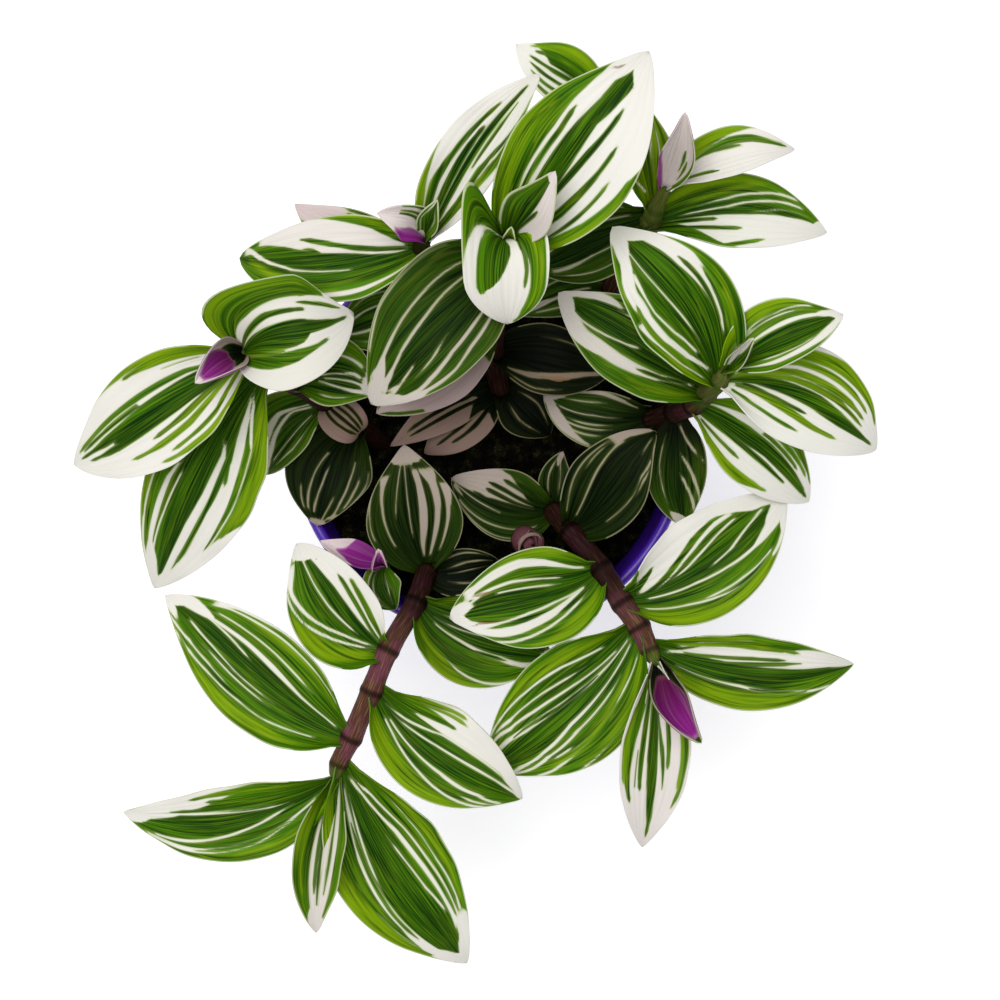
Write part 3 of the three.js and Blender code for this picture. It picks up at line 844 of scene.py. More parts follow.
def plant_shoot(shoot):
    """Makes a shoot's stem and its leaves, which together stand for its CAD node."""
    stem = grow_stem(shoot)
    stem.name = shoot["name"] + "_stem"
    stem.data.materials.append(stem_material)
    cells = math.ceil(math.sqrt(len(shoot["leaves"])))
    blades = [grow_leaf(shoot, leaf, i, cells) for i, leaf in enumerate(shoot["leaves"])]
    deselect_all()
    for blade in blades:
        blade.select_set(True)
    bpy.context.view_layer.objects.active = blades[0]
    if len(blades) > 1:
        bpy.ops.object.join()
    leaves = bpy.context.view_layer.objects.active
    leaves.name = shoot["name"] + "_leaves"
    for piece in (stem, leaves):
        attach(piece, "root")
        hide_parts(shoot["name"] + "_shoot")


DEEP_GREEN = (0.004, 0.034, 0.001, 1)
MID_GREEN = (0.084, 0.240, 0.002, 1)
LIME_GREEN = (0.240, 0.400, 0.003, 1)
VEIN_GREEN = (0.300, 0.420, 0.012, 1)
CREAM = (0.520, 0.610, 0.270, 1)
PALE = (0.870, 0.860, 0.790, 1)
BLUSH_PINK = (0.720, 0.540, 0.590, 1)
SCAR_BROWN = (0.270, 0.150, 0.075, 1)
# The leaf's colours are multiplied by these where the other leaves' shade is painted into them.
SHADE_GREEN = (0.060, 0.042, 0.600, 1)
SHADE_PALE = (0.340, 0.280, 0.225, 1)
SHADE_PLUM = (0.240, 0.120, 0.070, 1)
PLUM = (0.300, 0.020, 0.280, 1)
PLUM_PALE = (0.560, 0.330, 0.500, 1)
STRIPE_EDGE = 0.12
STRIPE_INSET = 0.18
MARGIN_LINE = 0.30
STREAK_ACROSS = 1.5
STREAK_ALONG = 0.04
LEAF_SHIFT = 7.3
WIDE_STREAKS = 0.45
VEIN_STREAKS = 1.1
THIN_STREAKS = 2.6
HAIR_STREAKS = 0.8
CELL_SCALE = 2400
LEAF_RELIEF = 0.0004
LEAF_SPECULAR = 0.05


def attribute_of(paint, name):
    return paint.node("ShaderNodeAttribute", {"attribute_name": name}, output="Fac")


def streaks(paint, along, across, leaf, scale, detail=3):
    """Noise drawn out along the leaf, as its veins are, different on each leaf."""
    place = paint.node("ShaderNodeCombineXYZ", inputs={
        "X": across * STREAK_ACROSS,
        "Y": along * STREAK_ALONG,
        "Z": leaf * LEAF_SHIFT,
    })
    return paint.node("ShaderNodeTexNoise", inputs={"Vector": place, "Scale": scale, "Detail": detail})


def colour_of(paint, colour):
    made = paint.node("ShaderNodeRGB")
    made.socket.default_value = colour
    return made


leaf_material, leaf_shader, paint = new_material("leaf face")
along, across, leaf, share, gloom, blush, margin, fold = (
    attribute_of(paint, name)
    for name in ("along", "across", "leaf", "share", "gloom", "blush", "margin", "fold")
)
wide = streaks(paint, along, across, leaf, WIDE_STREAKS)
vein = streaks(paint, along, across, leaf, VEIN_STREAKS, 1)
thin = streaks(paint, along, across, leaf, THIN_STREAKS)
hairline = 1 - abs(streaks(paint, along, across, leaf, HAIR_STREAKS, 1) - 0.5).step(0.008, 0.05)
object_place = paint.node("ShaderNodeTexCoord", output="Object")
cell = paint.node("ShaderNodeTexNoise", inputs={"Vector": object_place, "Scale": CELL_SCALE, "Detail": 2})
white = attribute_of(paint, "white") - STRIPE_INSET + (wide - 0.5) * 0.5 + (thin - 0.5) * 0.35
lime = attribute_of(paint, "lime") + (wide - 0.5) * 1.6
brown = attribute_of(paint, "brown") + (thin - 0.5) * 0.9
purple = attribute_of(paint, "purple") + (wide - 0.5) * 1.2
depth = share.step(0.0, 0.95) * 0.5 + (wide - 0.5) * 1.5 + (vein - 0.5) * 2.0 + (thin - 0.5) * 0.9
green = colour_of(paint, DEEP_GREEN).blend(depth + 0.22, MID_GREEN)
green = green.blend(lime.step(-1.0, 1.2) * (vein * 1.8 + thin * 1.2 - 0.85), LIME_GREEN)
# Painted shade in the midrib's fold: a thin darker line along the middle of the leaf.
green = green.blend((1 - abs(fold - 0.5).step(0.0, 0.5)) * 0.35, DEEP_GREEN)
green = green.blend(hairline * (0.12 + share * 0.3), VEIN_GREEN)
# Painted shade: the greens, and below them the pale parts and cream lines, darken as much as the leaf's
# painted shade says.
green = green.blend(gloom * 1.1, SHADE_GREEN, "MULTIPLY")
shade = colour_of(paint, WHITE_LIGHT).blend(gloom, SHADE_PALE, "MULTIPLY")
cream = colour_of(paint, CREAM).blend(1.0, shade, "MULTIPLY")
pale = colour_of(paint, PALE).blend(blush * (0.4 + wide * 0.8), BLUSH_PINK).blend(1.0, shade, "MULTIPLY")
green = green.blend(white.step(-0.6, 0.0) * 0.18, cream)
pale = pale.blend((1 - white.step(0.0, 0.45)) * 0.7, cream).blend(vein.step(0.55, 0.8) * 0.12, cream)
colour = green.blend(white.step(-STRIPE_EDGE, STRIPE_EDGE), pale)
colour = colour.blend((1 - margin.step(MARGIN_LINE * 0.6, MARGIN_LINE * 1.4)) * 0.85, pale)
colour = colour.blend(brown.step(-0.15, 0.25) * 0.75, SCAR_BROWN)
worn_plum = (1 - purple.step(0.0, 1.2)) * 0.6 + wide.step(0.4, 0.8) * 0.4
rolled = colour_of(paint, PLUM).blend(worn_plum, PLUM_PALE)
# Painted shade on the rolled purple as well.
rolled = rolled.blend(gloom, SHADE_PLUM, "MULTIPLY")
colour = colour.blend(purple.step(-0.3, 0.4), rolled)
leaf_relief = paint.node("ShaderNodeBump", inputs={
    "Height": vein * 0.6 + thin * 0.3 + cell * 0.2,
    "Strength": 0.5,
    "Distance": LEAF_RELIEF,
})
set_inputs(leaf_shader, {
    "Base Color": colour,
    "Roughness": 0.42 + thin * 0.14 + cell * 0.06,
    "Specular IOR Level": LEAF_SPECULAR,
    "Normal": leaf_relief,
})

BACK_GREEN = (0.110, 0.210, 0.040, 1)
BACK_PALE = (0.600, 0.620, 0.460, 1)
BACK_STREAKS = 0.55

back_material, back_shader, paint = new_material("leaf back")
along, across, leaf, plum, gloom = (
    attribute_of(paint, name) for name in ("along", "across", "leaf", "plum", "gloom")
)
wide = streaks(paint, along, across, leaf, BACK_STREAKS)
thin = streaks(paint, along, across, leaf, THIN_STREAKS)
white = attribute_of(paint, "white") + (wide - 0.5) * 0.8
back = colour_of(paint, BACK_GREEN).blend(white.step(-0.4, 0.4), BACK_PALE)
purple = colour_of(paint, PLUM).blend(white.step(-0.4, 0.6) * 0.4 + thin * 0.3, PLUM_PALE)
back = back.blend(plum, purple).blend(thin.step(0.4, 0.7) * 0.15, BACK_PALE)
# Painted shade on the leaf's back.
back = back.blend(gloom * 0.9, SHADE_PLUM, "MULTIPLY")
back_relief = paint.node("ShaderNodeBump", inputs={
    "Height": thin,
    "Strength": 0.4,
    "Distance": LEAF_RELIEF,
})
set_inputs(back_shader, {
    "Base Color": back,
    "Roughness": 0.48 + thin * 0.12,
    "Specular IOR Level": LEAF_SPECULAR,
    "Normal": back_relief,
})

STEM_BROWN = (0.085, 0.034, 0.020, 1)
STEM_PALE = (0.300, 0.170, 0.090, 1)
STEM_MAGENTA = (0.170, 0.035, 0.090, 1)
STEM_DARK = (0.018, 0.008, 0.005, 1)
STEM_GREEN = (0.060, 0.130, 0.006, 1)
STEM_SHADE = (0.200, 0.170, 0.180, 1)
FIBRES_AROUND = 9
FIBRES_ALONG = 0.05
FIBRE_SCALE = 3
FLECK_SCALE = 900
BLOTCH_SCALE = 110
STEM_RELIEF = 0.0005

stem_material, stem_shader, paint = new_material("stem")
along, around, joint, sheath, gloom, green = (
    attribute_of(paint, name) for name in ("along", "around", "joint", "sheath", "gloom", "green")
)
place = paint.node("ShaderNodeCombineXYZ", inputs={"X": around * FIBRES_AROUND, "Y": along * FIBRES_ALONG})
fibres = paint.node("ShaderNodeTexNoise", inputs={"Vector": place, "Scale": FIBRE_SCALE, "Detail": 3})
object_place = paint.node("ShaderNodeTexCoord", output="Object")
flecks = paint.node("ShaderNodeTexNoise", inputs={"Vector": object_place, "Scale": FLECK_SCALE, "Detail": 3})
blotches = paint.node("ShaderNodeTexNoise", inputs={
    "Vector": object_place,
    "Scale": BLOTCH_SCALE,
    "Detail": 2,
})
bark = colour_of(paint, STEM_BROWN).blend(blotches.step(0.5, 0.7) * 0.6, STEM_MAGENTA)
bark = bark.blend(green * (0.75 + sheath * 0.25), STEM_GREEN)
bark = bark.blend(fibres.step(0.46, 0.7) * 0.6, STEM_PALE)
bark = bark.blend((1 - joint.step(0.2, 1.6)) * (0.9 - green * 0.5), STEM_DARK)
bark = bark.blend(flecks.step(0.6, 0.75) * 0.3, STEM_DARK)
# Painted shade near the middle of the pot.
bark = bark.blend(gloom, STEM_SHADE, "MULTIPLY")
stem_relief = paint.node("ShaderNodeBump", inputs={
    "Height": fibres + flecks * 0.3,
    "Strength": 0.5,
    "Distance": STEM_RELIEF,
})
set_inputs(stem_shader, {
    "Base Color": bark,
    "Roughness": 0.42 + flecks * 0.2,
    "Specular IOR Level": LEAF_SPECULAR,
    "Normal": stem_relief,
})

front_left = new_shoot("front_left", radius=3.1, joints=[
    (-15, -32, 96), (-19, -40, 110), (-22, -49, 117), (-30, -63, 121), (-35, -75, 121), (-41, -89, 119),
    (-45, -97, 118), (-46, -102, 118),
])
add_leaf(
    front_left, at=1, heading=99, rise=16, length=37.5, width=29, lift=1.5, droop=3, grip=70, fullness=0.72,
    gloom=0.8, blush=0.4,
    stripes=[
        ("white", 8, (30, 90, 4), (50, 93, 6), (75, 105, 8)),
        ("white", 8, (22, 55, 4), (40, 60, 6), (55, 66, 8), (70, 76, 14), (80, 85, 40)),
        ("white", 3, (45, 37), (65, 35, 4), (85, 33, 8)),
        ("white", 4, (25, 10), (50, 9, 5), (70, 10, 6), (88, 12, 12)),
        ("white", 22, (8, -8, 8), (20, -10, 14), (35, -17, 18), (50, -22, 20), (70, -27, 20), (82, -28, 30)),
        ("white", 16, (8, -28, 10), (25, -38, 12), (50, -53, 16), (70, -64, 26), (82, -70, 70)),
        ("white", 10, (12, -55, 8), (30, -63, 9), (50, -75, 12), (70, -95, 30)),
        ("white", 60, (84, 0, 40), (88, 0, 200), (92, 0, 300), (100, 0, 300)),
    ],
)
add_leaf(
    front_left, at=1, heading=8, rise=-13, length=20.5, width=15, lift=2, droop=3, gloom=0.9, blush=0.2,
    stripes=[
        ("white", 5, (20, 30), (50, 42), (85, 45)),
        ("white", 5, (20, -30), (50, -45), (85, -45)),
        ("white", 3, (20, 5), (50, 8), (80, 5)),
        ("white", 5, (10, 75), (50, 82), (80, 80)),
    ],
)
add_leaf(
    front_left, at=2, heading=-22, rise=-11, length=42, width=28.5, lean=-0.05, droop=4, gloom=(0.4, 0.1),
    blush=0.25,
    stripes=[
        ("white", 10, (15, 20), (50, 40), (85, 45, 20)),
        ("white", 8, (20, 50), (50, 72), (85, 88)),
        ("white", 4, (10, 0), (50, 8), (80, 10)),
        (
            "white", 8, (12, -14, 5), (33, -17, 6), (50, -26, 9), (63, -33, 14), (75, -48, 18),
            (85, -62, 30), (92, -70, 60), (97, -40, 200), (100, 0, 300),
        ),
        ("green", 3, (45, -25), (55, -29), (66, -37)),
        ("white", 5, (20, -58), (40, -76, 6), (55, -88, 7), (78, -102, 8)),
        ("white", 60, (90, 0), (96, 0, 200), (100, 0, 300)),
        ("lime", 24, (5, -60, 20), (15, -66, 20), (25, -80, 45), (40, -92, 20), (55, -98)),
        ("lime", 20, (5, 70, 30), (30, 85, 24), (60, 95)),
    ],
)
add_leaf(
    front_left, at=3, heading=129, rise=1, length=39, width=26.5, sweep=-1.5, lean=0.22, droop=4, cup=16,
    fullness=0.6, gloom=0.1, blush=0.05,
    stripes=[
        ("white", 5, (3, 14), (25, 43), (50, 77, 5), (75, 100, 8)),
        ("white", 7, (5, 8), (25, 27), (50, 60, 8), (73, 87, 14), (90, 95, 50)),
        ("white", 5, (20, 8), (50, 20), (70, 25, 5), (87, 28, 12), (94, 40, 60)),
        (
            "white", 96, (4, -60, 80), (12, -66, 92), (30, -64, 96), (60, -62, 96), (85, -55, 110),
            (95, 0, 260), (100, 0, 300),
        ),
        ("green", 9, (5, -26, 10), (25, -34, 8), (50, -42, 9), (65, -50)),
        ("green", 14, (3, -52, 14), (12, -54, 15), (25, -55, 15), (38, -60, 12), (50, -66, 10), (58, -72)),
        ("brown", 5, (80, -18), (83, -35), (83, -55)),
        ("lime", 40, (3, 40, 40), (25, 78), (50, 90, 22), (60, 100)),
    ],
)
add_leaf(
    front_left, at=4, heading=-37, rise=-9, length=53.5, width=29, sweep=-0.5, gloom=0.08, blush=0.08,
    stripes=[
        ("white", 60, (10, 68, 60), (40, 68, 66), (80, 72, 60), (100, 60, 120)),
        ("white", 8, (5, 0), (40, 35), (90, 45, 12)),
        ("white", 9, (12, -2), (40, 10, 6), (80, 15, 12), (100, 10, 40)),
        ("white", 10, (12, -18, 3), (50, -35, 8), (75, -55, 14), (90, -90, 18)),
        ("white", 10, (10, -28, 3), (45, -60, 8), (70, -85), (82, -100, 12)),
        ("white", 4, (63, -62), (75, -78), (90, -95)),
        ("green", 110, (0, 58, 110), (10, 56, 80), (20, 58, 28), (44, 60)),
        ("lime", 14, (5, 90, 20), (20, 87), (47, 90)),
        ("lime", 7, (8, 75, 10), (25, 77), (49, 80)),
        ("white", 40, (90, 30), (100, 0, 120)),
        ("lime", 46, (3, -70, 50), (30, -78, 44), (55, -88, 20), (70, -93)),
    ],
)
add_leaf(
    front_left, at=5, heading=143, rise=-7, length=68, width=31, sweep=-2, lean=0.05, gloom=0.06, blush=0.05,
    stripes=[
        ("white", 5, (10, 47, 3), (33, 62, 3), (45, 63, 4), (63, 70, 6), (75, 80, 8), (87, 98, 8)),
        ("white", 4, (52, 56), (65, 57, 5), (78, 64, 6), (88, 82, 8), (93, 95, 10)),
        ("white", 3, (33, 36), (55, 37), (72, 38)),
        ("white", 3, (32, 26), (55, 27), (77, 22, 4), (84, 18, 8)),
        ("white", 40, (88, 62, 10), (94, 50, 90), (98, 0, 260), (100, 0, 300)),
        ("white", 5, (52, -9), (60, -16, 4), (73, -26, 6), (85, -36, 12)),
        (
            "white", 12, (4, -10, 5), (10, -15, 5), (25, -18, 7), (42, -27, 13), (58, -33, 13),
            (75, -34, 14), (83, -45, 54), (90, -60, 94), (96, -40, 200), (100, 0, 300),
        ),
        ("white", 4, (22, -42), (45, -52, 4), (60, -56, 5), (76, -60, 8)),
        ("white", 6, (8, -90, 8), (20, -85, 6), (50, -86, 6), (72, -86, 8), (80, -85, 22)),
        ("white", 14, (22, -100, 6), (50, -101, 12), (70, -99, 16), (80, -95, 40)),
        ("lime", 26, (15, 80), (30, 80), (50, 88), (82, 88)),
        ("lime", 5, (10, -72), (30, -77), (60, -78)),
    ],
)
add_leaf(
    front_left, at=6, heading=-60, rise=-15, length=74.5, width=35.5, sweep=-1, gloom=0.05, blush=0.06,
    stripes=[
        ("white", 3, (12, 72), (33, 71, 4), (50, 73, 4), (68, 80, 6), (76, 80, 10)),
        ("white", 5, (4, 14), (13, 38, 5), (30, 54, 6), (50, 60, 6), (70, 68, 7), (78, 70, 12)),
        (
            "white", 9, (4, 5, 5), (12, 19, 7), (30, 38, 9), (50, 46, 10), (67, 53, 10), (75, 56, 14),
            (82, 62, 30),
        ),
        ("white", 4, (30, 19), (58, 30, 5), (72, 43, 6)),
        ("white", 50, (74, 80, 10), (78, 78, 46), (85, 80, 60), (93, 60, 110), (97, 0, 260), (100, 0, 300)),
        (
            "white", 13, (6, -21, 7), (17, -28, 11), (33, -39, 13), (50, -47, 15), (67, -54, 17),
            (78, -62, 28), (85, -70, 44), (92, -60, 100), (98, 0, 260),
        ),
        ("green", 3, (20, -30), (45, -42, 4), (60, -50, 4), (75, -56)),
        ("white", 3, (10, -14), (30, -26), (50, -38)),
        ("white", 4, (55, -68), (70, -76, 5), (80, -82, 8)),
        ("lime", 14, (3, 84, 16), (40, 86), (64, 85)),
        ("lime", 34, (3, -75, 30), (35, -88, 30), (60, -90, 40), (85, -98, 26)),
    ],
)
add_leaf(
    front_left, at=7, heading=-170, rise=-12, length=66.5, width=24.5, sweep=4.5, lean=0.1, lift=2, roll=-12,
    cup=14, gloom=0.06, blush=0.08,
    stripes=[
        ("white", 15, (8, 24, 4), (35, 60, 13), (65, 80, 16), (88, 90, 22)),
        ("white", 10, (18, 6), (45, 35, 7), (65, 55, 12), (84, 72, 16)),
        ("white", 12, (20, -2), (50, -20, 8), (70, -28, 14), (85, -20, 50), (93, 0, 150), (100, 0, 300)),
        ("white", 5, (25, -12), (40, -22), (60, -33), (80, -45, 20)),
        ("white", 40, (25, -97), (45, -85, 36), (60, -72, 60), (100, -65, 90)),
        ("green", 10, (5, -40, 20), (25, -48, 18), (45, -56, 12), (56, -60)),
        ("green", 12, (5, -80, 30), (30, -82, 24), (50, -80), (64, -78)),
        ("green", 9, (25, -15), (50, -31), (74, -39)),
        ("green", 3, (22, 44), (45, 66), (64, 80)),
        ("lime", 12, (3, 70, 20), (20, 80), (40, 85), (66, 93)),
        ("lime", 8, (5, -72, 14), (30, -76), (58, -79)),
    ],
)
add_leaf(
    front_left, at=7, heading=-98, rise=-4, length=46, width=17, sweep=-0.5, lean=-0.2, lift=2, cup=45,
    gloom=(0.35, 0.1), blush=0.3, plum=0.25,
    stripes=[
        ("white", 150, (0, 25, 120), (50, 20, 120), (80, 25, 140), (100, 0, 300)),
        ("green", 60, (0, 94, 70), (50, 90, 66), (86, 84, 30)),
        ("green", 4, (8, -12), (45, -10), (78, -6)),
        ("green", 5, (8, -20), (50, -20), (70, -20)),
        ("green", 3, (10, 25), (50, 28), (70, 28)),
        ("lime", 40, (0, -75, 50), (35, -80, 36), (70, -66)),
    ],
)
plant_shoot(front_left)


# ---------------------------------------------------------------------------------------------
# Front sprig: a short side stem in the middle of the left front, with a curled leaf that shows its
# magenta back, a small green leaf, and a rolled pink bud.
# ---------------------------------------------------------------------------------------------

front_sprig = new_shoot("front_sprig", radius=2, joints=[
    (-24, -33, 96), (-27, -36, 104), (-32, -38, 111),
])
add_leaf(
    front_sprig, at=2, heading=159, rise=14, length=20, width=11, sweep=0.5, lift=1, droop=3, roll=35,
    cup=60, gloom=(0.1, 0), blush=0.9, plum=1,
    stripes=[
        ALL_WHITE,
        ("purple", 300, (0, 0, 300), (45, 0, 300), (60, 0, 90), (75, 0, 30)),
    ],
)
add_leaf(
    front_sprig, at=2, heading=-74, rise=2, length=13.5, width=12, sweep=-1.5, lift=1, droop=2,
    fullness=0.55, gloom=0.35, blush=0.5, plum=0.7,
    stripes=[
        ("white", 6, (10, -62, 4), (50, -72), (92, -60)),
        ("white", 5, (12, -38), (50, -46), (88, -40)),
        ("white", 4, (12, 22), (50, 30), (90, 20)),
        ("lime", 30, (5, -85, 30), (40, -90, 20), (70, -92)),
    ],
)
add_leaf(
    front_sprig, at=2, heading=105, rise=60, length=9.5, width=8, lift=2, droop=1, cup=100,
    gloom=(0.45, 0.2), blush=1, plum=1,
    stripes=[
        ALL_WHITE,
        ("purple", 160, (0, 0, 240), (50, 0, 180), (90, 0, 60)),
    ],
)
plant_shoot(front_sprig)


# ---------------------------------------------------------------------------------------------
# Front right shoot: the stem that hangs over the rim at the lower right. Its last leaf is still rolled
# up and shows its purple back.
# ---------------------------------------------------------------------------------------------

front_right = new_shoot("front_right", radius=3.2, joints=[
    (15, -17, 96), (19, -22, 106), (24, -28, 113), (33, -39, 119), (39, -49, 122), (44, -56, 123),
    (47, -63, 124), (49, -67, 126),
])
add_leaf(
    front_right, at=1, heading=161, rise=5, length=30, width=21.5, sweep=1.5, lift=2, droop=3, grip=70,
    fullness=0.6, gloom=0.75, blush=0.45,
    stripes=[
        ("white", 5, (12, 90), (45, 92, 6), (82, 95, 10)),
        ("white", 7, (10, 60, 4), (45, 66, 6), (70, 77, 8), (85, 85, 20)),
        ("white", 5, (45, 28, 3), (58, 27, 6), (75, 29, 8), (92, 30, 20)),
        ("white", 10, (82, 52, 6), (90, 50, 40), (96, 45, 80)),
        (
            "white", 60, (14, -10, 8), (35, -30, 50), (55, -48, 92), (68, -50, 112), (80, -50, 122),
            (92, -45, 136), (100, -40, 150),
        ),
        ("green", 7, (12, 6, 7), (40, 12, 8), (60, 8, 7), (76, 4)),
        ("green", 6, (10, -6, 6), (35, -10, 8), (58, -20, 6), (66, -24)),
        ("green", 6, (10, -18, 6), (35, -28, 8), (55, -40, 6), (67, -48)),
        ("green", 6, (8, -35, 8), (25, -46, 8), (45, -58, 6), (55, -66)),
        ("green", 7, (8, -55, 10), (30, -72, 8), (50, -88, 6), (60, -98)),
    ],
)
add_leaf(
    front_right, at=1, heading=82, rise=10, length=16, width=10.5, sweep=1.5, lift=1, droop=1, cup=14,
    gloom=0.8, blush=0.5,
    stripes=[
        ("white", 8, (15, 42), (60, 45), (92, 30)),
        ("white", 8, (15, -20), (60, -30), (92, -20)),
        ("white", 20, (70, 0), (92, 0, 120), (100, 0, 300)),
    ],
)
add_leaf(
    front_right, at=2, heading=50, rise=17, length=37.5, width=24.5, sweep=3, droop=4, cup=8, fullness=0.58,
    gloom=0.85, blush=0.4,
    stripes=[
        ("white", 5, (6, 25, 4), (33, 35, 5), (58, 45, 6), (73, 55, 10), (80, 62, 24)),
        ("white", 40, (73, 80, 50), (84, 90, 60), (94, 85, 90), (100, 80, 100)),
        ("white", 4, (6, 70, 3), (33, 80, 4), (72, 85, 8)),
        ("white", 3, (46, 67), (60, 72), (72, 76)),
        ("white", 4, (20, -55, 3), (50, -66, 5), (67, -66, 5), (84, -88, 10)),
        ("white", 3, (50, -72), (65, -76), (80, -92)),
        ("white", 3, (80, -36), (88, -35, 5), (95, -34, 10)),
        ("white", 6, (30, -105, 8), (60, -104, 8), (84, -98, 14), (95, -90, 30)),
    ],
)
add_leaf(
    front_right, at=3, heading=-163, rise=3, length=44.5, width=30, sweep=-1, droop=4, fullness=0.62,
    gloom=0.1, blush=0.05,
    stripes=[
        ("white", 4, (8, 28), (33, 55, 4), (57, 80, 5), (75, 100, 6)),
        (
            "white", 20, (10, 15, 6), (20, 22, 11), (33, 35, 17), (50, 50, 21), (67, 67, 25), (85, 85, 32),
            (92, 92, 60),
        ),
        (
            "white", 5, (12, 14, 4), (33, 18, 5), (50, 27, 6), (68, 43, 8), (78, 56, 20), (88, 70, 60),
            (96, 40, 200), (100, 0, 300),
        ),
        ("white", 60, (82, -25, 10), (87, -30, 56), (93, -30, 110), (98, 0, 250), (100, 0, 300)),
        ("white", 3, (25, -16), (50, -24, 4), (68, -30, 7)),
        ("white", 7, (22, -27), (37, -35, 6), (58, -44, 8), (75, -46, 12), (84, -44, 30)),
        (
            "white", 18, (3, -44, 14), (10, -46, 12), (17, -53, 13), (33, -66, 18), (50, -75, 21),
            (67, -75, 25), (80, -73, 28), (88, -66, 70),
        ),
        ("brown", 3, (70, 40), (82, 50), (90, 80)),
        ("brown", 5, (70, -38), (76, -42, 6), (82, -52)),
        ("lime", 36, (5, 58, 20), (20, 74), (35, 86, 24), (52, 96)),
        ("lime", 10, (5, -85, 16), (30, -87), (62, -90)),
    ],
)
add_leaf(
    front_right, at=4, heading=34, rise=-6, length=56.5, width=31, sweep=-2.5, lift=2, cup=8, fullness=0.62,
    gloom=0.08, blush=0.05,
    stripes=[
        (
            "white", 100, (4, 30, 50), (8, 60, 110), (25, 72, 78), (43, 84, 52), (62, 90, 40), (72, 84, 54),
            (78, 76, 76), (85, 70, 86), (92, 60, 120), (97, 0, 260), (100, 0, 300),
        ),
        ("white", 6, (12, 4), (20, 14, 6), (38, 37, 8), (58, 58, 12), (70, 62, 12)),
        ("white", 4, (22, 8), (40, 22, 4), (55, 36, 5), (70, 46, 6)),
        ("white", 4, (42, -8), (58, -3, 5), (75, 14, 7), (84, 24, 12)),
        ("green", 16, (1, 12, 16), (8, 40, 24), (16, 58)),
        ("green", 8, (6, -2, 5), (25, 27, 9), (43, 54, 8), (62, 70)),
        (
            "white", 6, (8, -14, 5), (25, -18, 5), (33, -19, 5), (50, -27, 7), (67, -37, 10), (78, -38, 34),
            (88, -30, 84), (96, -20, 260), (100, 0, 300),
        ),
        ("white", 4, (30, -53), (53, -63, 5), (73, -76, 8)),
        ("white", 5, (5, -44, 5), (25, -53, 6), (47, -70, 6), (63, -82, 7), (78, -92, 14)),
        ("white", 20, (72, -90, 8), (82, -92, 20), (88, -80, 60), (94, -40, 160)),
        ("lime", 36, (3, -72, 44), (40, -86, 34), (70, -93, 26)),
    ],
)
add_leaf(
    front_right, at=5, heading=-134, rise=-18, length=63, width=36.5, sweep=-0.5, lean=0.05, cup=8,
    fullness=0.62, gloom=0.08, blush=0.05,
    stripes=[
        ("white", 8, (4, 14, 3), (30, 20, 5), (50, 25), (70, 42), (85, 60, 13), (95, 95, 16)),
        ("white", 4, (18, 30), (50, 40), (70, 55), (92, 90, 6)),
        ("white", 7, (6, 45, 4), (30, 50), (55, 64), (72, 86), (82, 100, 8)),
        ("white", 4, (25, 72), (50, 90), (62, 100)),
        ("white", 4, (56, 57), (61, 59), (68, 62)),
        ("white", 11, (3, 2, 3), (30, -3, 7), (50, -10), (70, -21, 15), (88, -44, 22)),
        ("white", 8, (10, -6, 3), (45, -25, 6), (60, -35), (75, -50), (88, -84, 9)),
        ("white", 4, (25, -30), (55, -50), (72, -62), (88, -94)),
        ("white", 7, (12, -36, 4), (35, -60), (55, -70), (75, -85), (87, -100, 8)),
        ("green", 2, (25, -2), (50, -9), (76, -27)),
        ("lime", 12, (5, 62, 14), (30, 74), (60, 92)),
        ("lime", 10, (10, 34), (40, 55), (70, 74)),
        ("lime", 16, (5, -60, 24), (30, -72, 22), (60, -85, 14), (80, -96)),
    ],
)
add_leaf(
    front_right, at=6, heading=-5, rise=-9, length=60.5, width=23, sweep=-3, lift=2, cup=18, gloom=0.08,
    blush=0.05,
    stripes=[
        ("white", 6, (8, 45, 3), (20, 76), (35, 84), (44, 83)),
        (
            "white", 46, (4, 8, 5), (12, 30, 22), (20, 42, 40), (30, 42, 44), (45, 38), (60, 37, 50),
            (72, 45, 76), (85, 55, 96), (100, 45, 130),
        ),
        ("green", 7, (12, 20, 6), (25, 30), (45, 36), (62, 38)),
        ("green", 6, (8, 5, 6), (30, 15), (45, 21), (70, 29)),
        ("white", 10, (10, -30, 5), (40, -38), (55, -50), (70, -68, 14), (85, -95, 16)),
        ("green", 3, (45, -42), (60, -57), (72, -71)),
        ("lime", 60, (3, -74, 52), (40, -76, 50), (60, -86, 28), (76, -97)),
        ("lime", 28, (3, 88, 30), (25, 90, 24), (44, 84)),
        ("lime", 13, (8, 58, 10), (30, 71), (50, 71, 16), (69, 65)),
    ],
)
add_leaf(
    front_right, at=7, heading=-93, rise=-16, length=57.5, width=21.5, droop=4, cup=22, gloom=0.08,
    blush=0.3,
    stripes=[
        ALL_WHITE,
        ("green", 12, (5, 80, 14), (24, 86, 13), (40, 88, 10), (55, 87, 6), (70, 85)),
        ("lime", 9, (12, 70, 8), (24, 76, 10), (40, 78, 9), (58, 79)),
        ("green", 11, (8, 26, 8), (22, 34, 11), (35, 37, 10), (48, 39)),
        ("green", 3, (20, 4), (42, 22), (60, 35)),
        (
            "green", 22, (0, -8, 12), (5, -10, 14), (20, -9, 22), (42, -6, 26), (58, -1, 28), (70, 4, 24),
            (80, 12, 20), (92, 17),
        ),
        ("green", 11, (4, -24, 10), (8, -28, 10), (25, -33, 13), (42, -36, 12), (55, -37, 9), (62, -36)),
        ("green", 3, (40, -48), (60, -53)),
        (
            "green", 30, (0, -45, 20), (5, -50, 26), (17, -65, 44), (33, -76, 34), (50, -80, 24),
            (60, -77, 12), (69, -74),
        ),
        ("lime", 10, (20, -80), (40, -88), (58, -88)),
    ],
)
